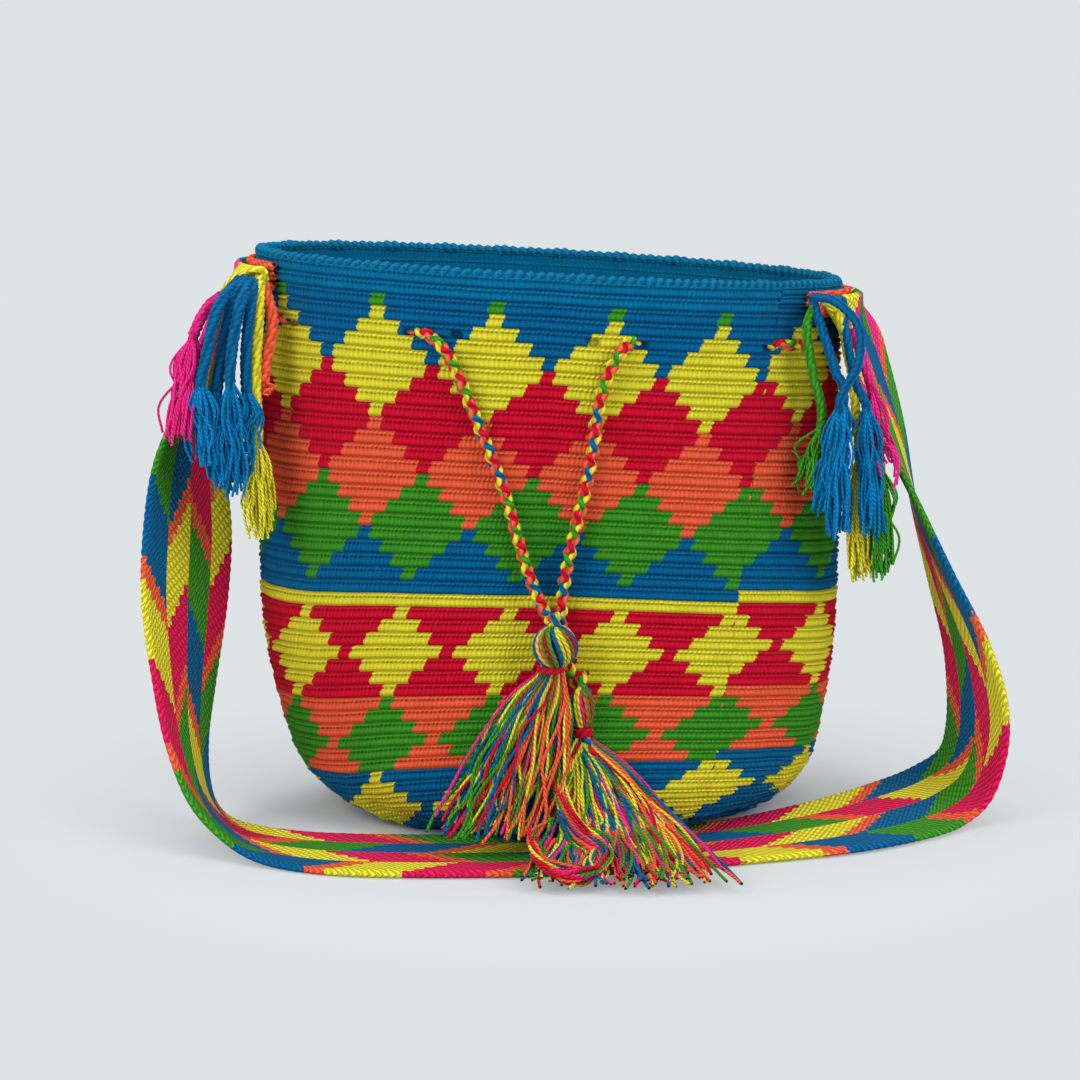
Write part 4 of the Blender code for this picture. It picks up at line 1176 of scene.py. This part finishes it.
def make_tassels(yarn):
    pieces = []
    parts = (
        ("left_head", head_lines(LEFT_HEAD, 40, 1.2, 1.0, 1), "tassel_head"),
        ("left_tie", ring_lines(LEFT_TIE, 0.0056, 2.2, 0.0009), "tassel_tie"),
        ("left_skirt", skirt_lines(LEFT_SKIRT, 130, 5, 0.13), "tassel_skirt"),
        ("right_head", head_lines(RIGHT_HEAD, 20, 0.9, 1.8, 2), "tassel_head"),
        ("right_tie", ring_lines(RIGHT_TIE, 0.0040, 3.2, 0.0018), "tassel_tie"),
        ("right_skirt", skirt_lines(RIGHT_SKIRT, 140, 9, 0.10) + curl_lines(3), "tassel_skirt"),
    )
    for name, lines, slot in parts:
        obj = tubes(f"yarns_{name}", lines, yarn, 5)
        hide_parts(f"tassel_{name}")
        pieces.append(obj)
    return pieces


# Fringes
def plied_lines(line, radius, colour, plies=3, pitch=0.0085):
    """A cord of plies laid round a line."""
    _, across, other = line_frames(line)
    run = running_length(line)
    lines = []
    for ply in range(plies):
        angle = 2 * math.pi * (run / pitch + ply / plies)
        lines.append((line + turned(across, other, angle) * radius * 0.46, radius * 0.56, colour))
    return lines


def frayed_lines(start, heading, length, count, colour, rng):
    """The loose threads below a cord's knot."""
    lines = []
    for _ in range(count):
        angle = rng.uniform(0.0, 2 * math.pi)
        reach = rng.uniform(0.0, 0.0016)
        root = start + np.array([math.cos(angle) * reach, math.sin(angle) * reach, 0.0])
        own = length * rng.uniform(0.66, 1.04)
        spread = np.array([math.cos(angle), math.sin(angle) * 0.6, 0.0]) * rng.uniform(0.0008, 0.0058)
        bend = np.array([rng.normal(0.0, 0.0022), rng.normal(0.0, 0.0014), 0.0])
        tip = root + heading * own + spread
        one = root + (tip - root) * 0.33 + spread * 0.4 + bend
        two = root + (tip - root) * 0.70 + spread * 0.2 - bend * 0.8
        line = resampled(smooth_line([root, one, two, tip], 8), 0.0028)
        lines.append((line, THREAD_RADIUS, np.array(colour) * rng.uniform(0.85, 1.30)))
    return lines


def make_fringes(yarn):
    rng = np.random.default_rng(11)
    pieces = []
    slots = {name: f"{name}_yarn" for name in ("orange", "yellow", "pink", "green")}
    slots["lime"] = "green_yarn"
    for side, fringe in (("left", LEFT_FRINGE), ("right", RIGHT_FRINGE)):
        for name, (colour, share, threads, route) in fringe.items():
            line = resampled(smooth_line(route, 12), 0.0009)
            knot = int(len(line) * share)
            cord = line[: knot + 1]
            knot_line = line[max(knot - 3, 0) : knot + 3]
            lines = plied_lines(cord, FRINGE_DIAMETER * CORD_SHARE[side], colour)
            rest = line[-1] - line[knot]
            length = float(np.linalg.norm(rest))
            lines.append((knot_line, FRINGE_DIAMETER * 0.56, np.array(colour) * 0.8))
            frayed = FRAYED_BLUE if colour is BLUE else colour
            count = round(threads * THREAD_SHARE)
            lines += frayed_lines(line[knot], rest / length, length, count, frayed, rng)
            obj = tubes(f"cord_{side}_{name}", lines, yarn, 5)
            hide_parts(f"fringe_{side}_{name}")
            pieces.append(obj)
    return pieces


# Light and floor
def seen_rays(tree):
    """1 for rays that show the backdrop: those of the camera, of reflections and through glass."""
    path = tree.nodes.new("ShaderNodeLightPath")
    seen = math_node(tree, "MAXIMUM", path.outputs["Is Camera Ray"], path.outputs["Is Glossy Ray"])
    return math_node(tree, "MAXIMUM", seen, path.outputs["Is Transmission Ray"])


def make_stage():
    mesh = bpy.data.meshes.new("floor")
    corners = [(x * FLOOR_HALF, y * FLOOR_HALF, 0) for x, y in ((-1, -1), (1, -1), (1, 1), (-1, 1))]
    mesh.from_pydata(corners, [], [(0, 1, 2, 3)])
    floor = bpy.data.objects.new("floor", mesh)
    bpy.context.scene.collection.objects.link(floor)
    material, tree, shader = new_material("floor_paper")
    shader.inputs["Base Color"].default_value = (*FLOOR_ALBEDO, 1.0)
    shader.inputs["Roughness"].default_value = 0.9
    shader.inputs["Specular IOR Level"].default_value = 0.0
    # Away from the bag the floor runs into the backdrop's own colour.
    far = tree.nodes.new("ShaderNodeEmission")
    far.inputs["Color"].default_value = (*BACKDROP, 1.0)
    place = tree.nodes.new("ShaderNodeTexCoord")
    distance = tree.nodes.new("ShaderNodeVectorMath")
    distance.operation = "LENGTH"
    tree.links.new(place.outputs["Object"], distance.inputs[0])
    fade = remapped(tree, distance.outputs["Value"], FLOOR_NEAR, FLOOR_FAR, 0.0, 1.0)
    mix = tree.nodes.new("ShaderNodeMixShader")
    tree.links.new(math_node(tree, "MULTIPLY", fade, seen_rays(tree)), mix.inputs["Fac"])
    tree.links.new(shader.outputs["BSDF"], mix.inputs[1])
    tree.links.new(far.outputs["Emission"], mix.inputs[2])
    tree.links.new(mix.outputs["Shader"], tree.nodes["Material Output"].inputs["Surface"])
    mesh.materials.append(material)


def area_light(name, place, target, size, power):
    data = bpy.data.lights.new(name, "AREA")
    data.shape = "SQUARE"
    data.size = size
    data.energy = power
    light = bpy.data.objects.new(name, data)
    light.location = place
    light.rotation_euler = (Vector(target) - Vector(place)).to_track_quat("-Z", "Y").to_euler()
    bpy.context.scene.collection.objects.link(light)


def make_light():
    world = bpy.data.worlds.new("studio")
    bpy.context.scene.world = world
    world.use_nodes = True
    tree = world.node_tree
    background = tree.nodes["Background"]
    background.inputs["Color"].default_value = (*WORLD_TINT, 1.0)
    background.inputs["Strength"].default_value = WORLD_STRENGTH
    seen = tree.nodes.new("ShaderNodeBackground")
    seen.inputs["Color"].default_value = (*BACKDROP, 1.0)
    mix = tree.nodes.new("ShaderNodeMixShader")
    tree.links.new(seen_rays(tree), mix.inputs["Fac"])
    tree.links.new(background.outputs["Background"], mix.inputs[1])
    tree.links.new(seen.outputs["Background"], mix.inputs[2])
    tree.links.new(mix.outputs["Shader"], tree.nodes["World Output"].inputs["Surface"])
    for lamp in LAMPS:
        area_light(*lamp)


def main():
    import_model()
    make_camera()
    bpy.context.scene.view_settings.view_transform = "Standard"
    make_light()
    make_stage()
    rope = plied_material("rope_yarn", 2, 0.45)
    yarn = plied_material("fine_yarn", 2, 0.50)
    string, string_line, string_length = make_drawstring(rope)
    tassels = make_tassels(yarn)
    make_body()
    strap, strap_length = make_strap(woven_material())
    make_seams(rope)
    fringes = make_fringes(yarn)


main()
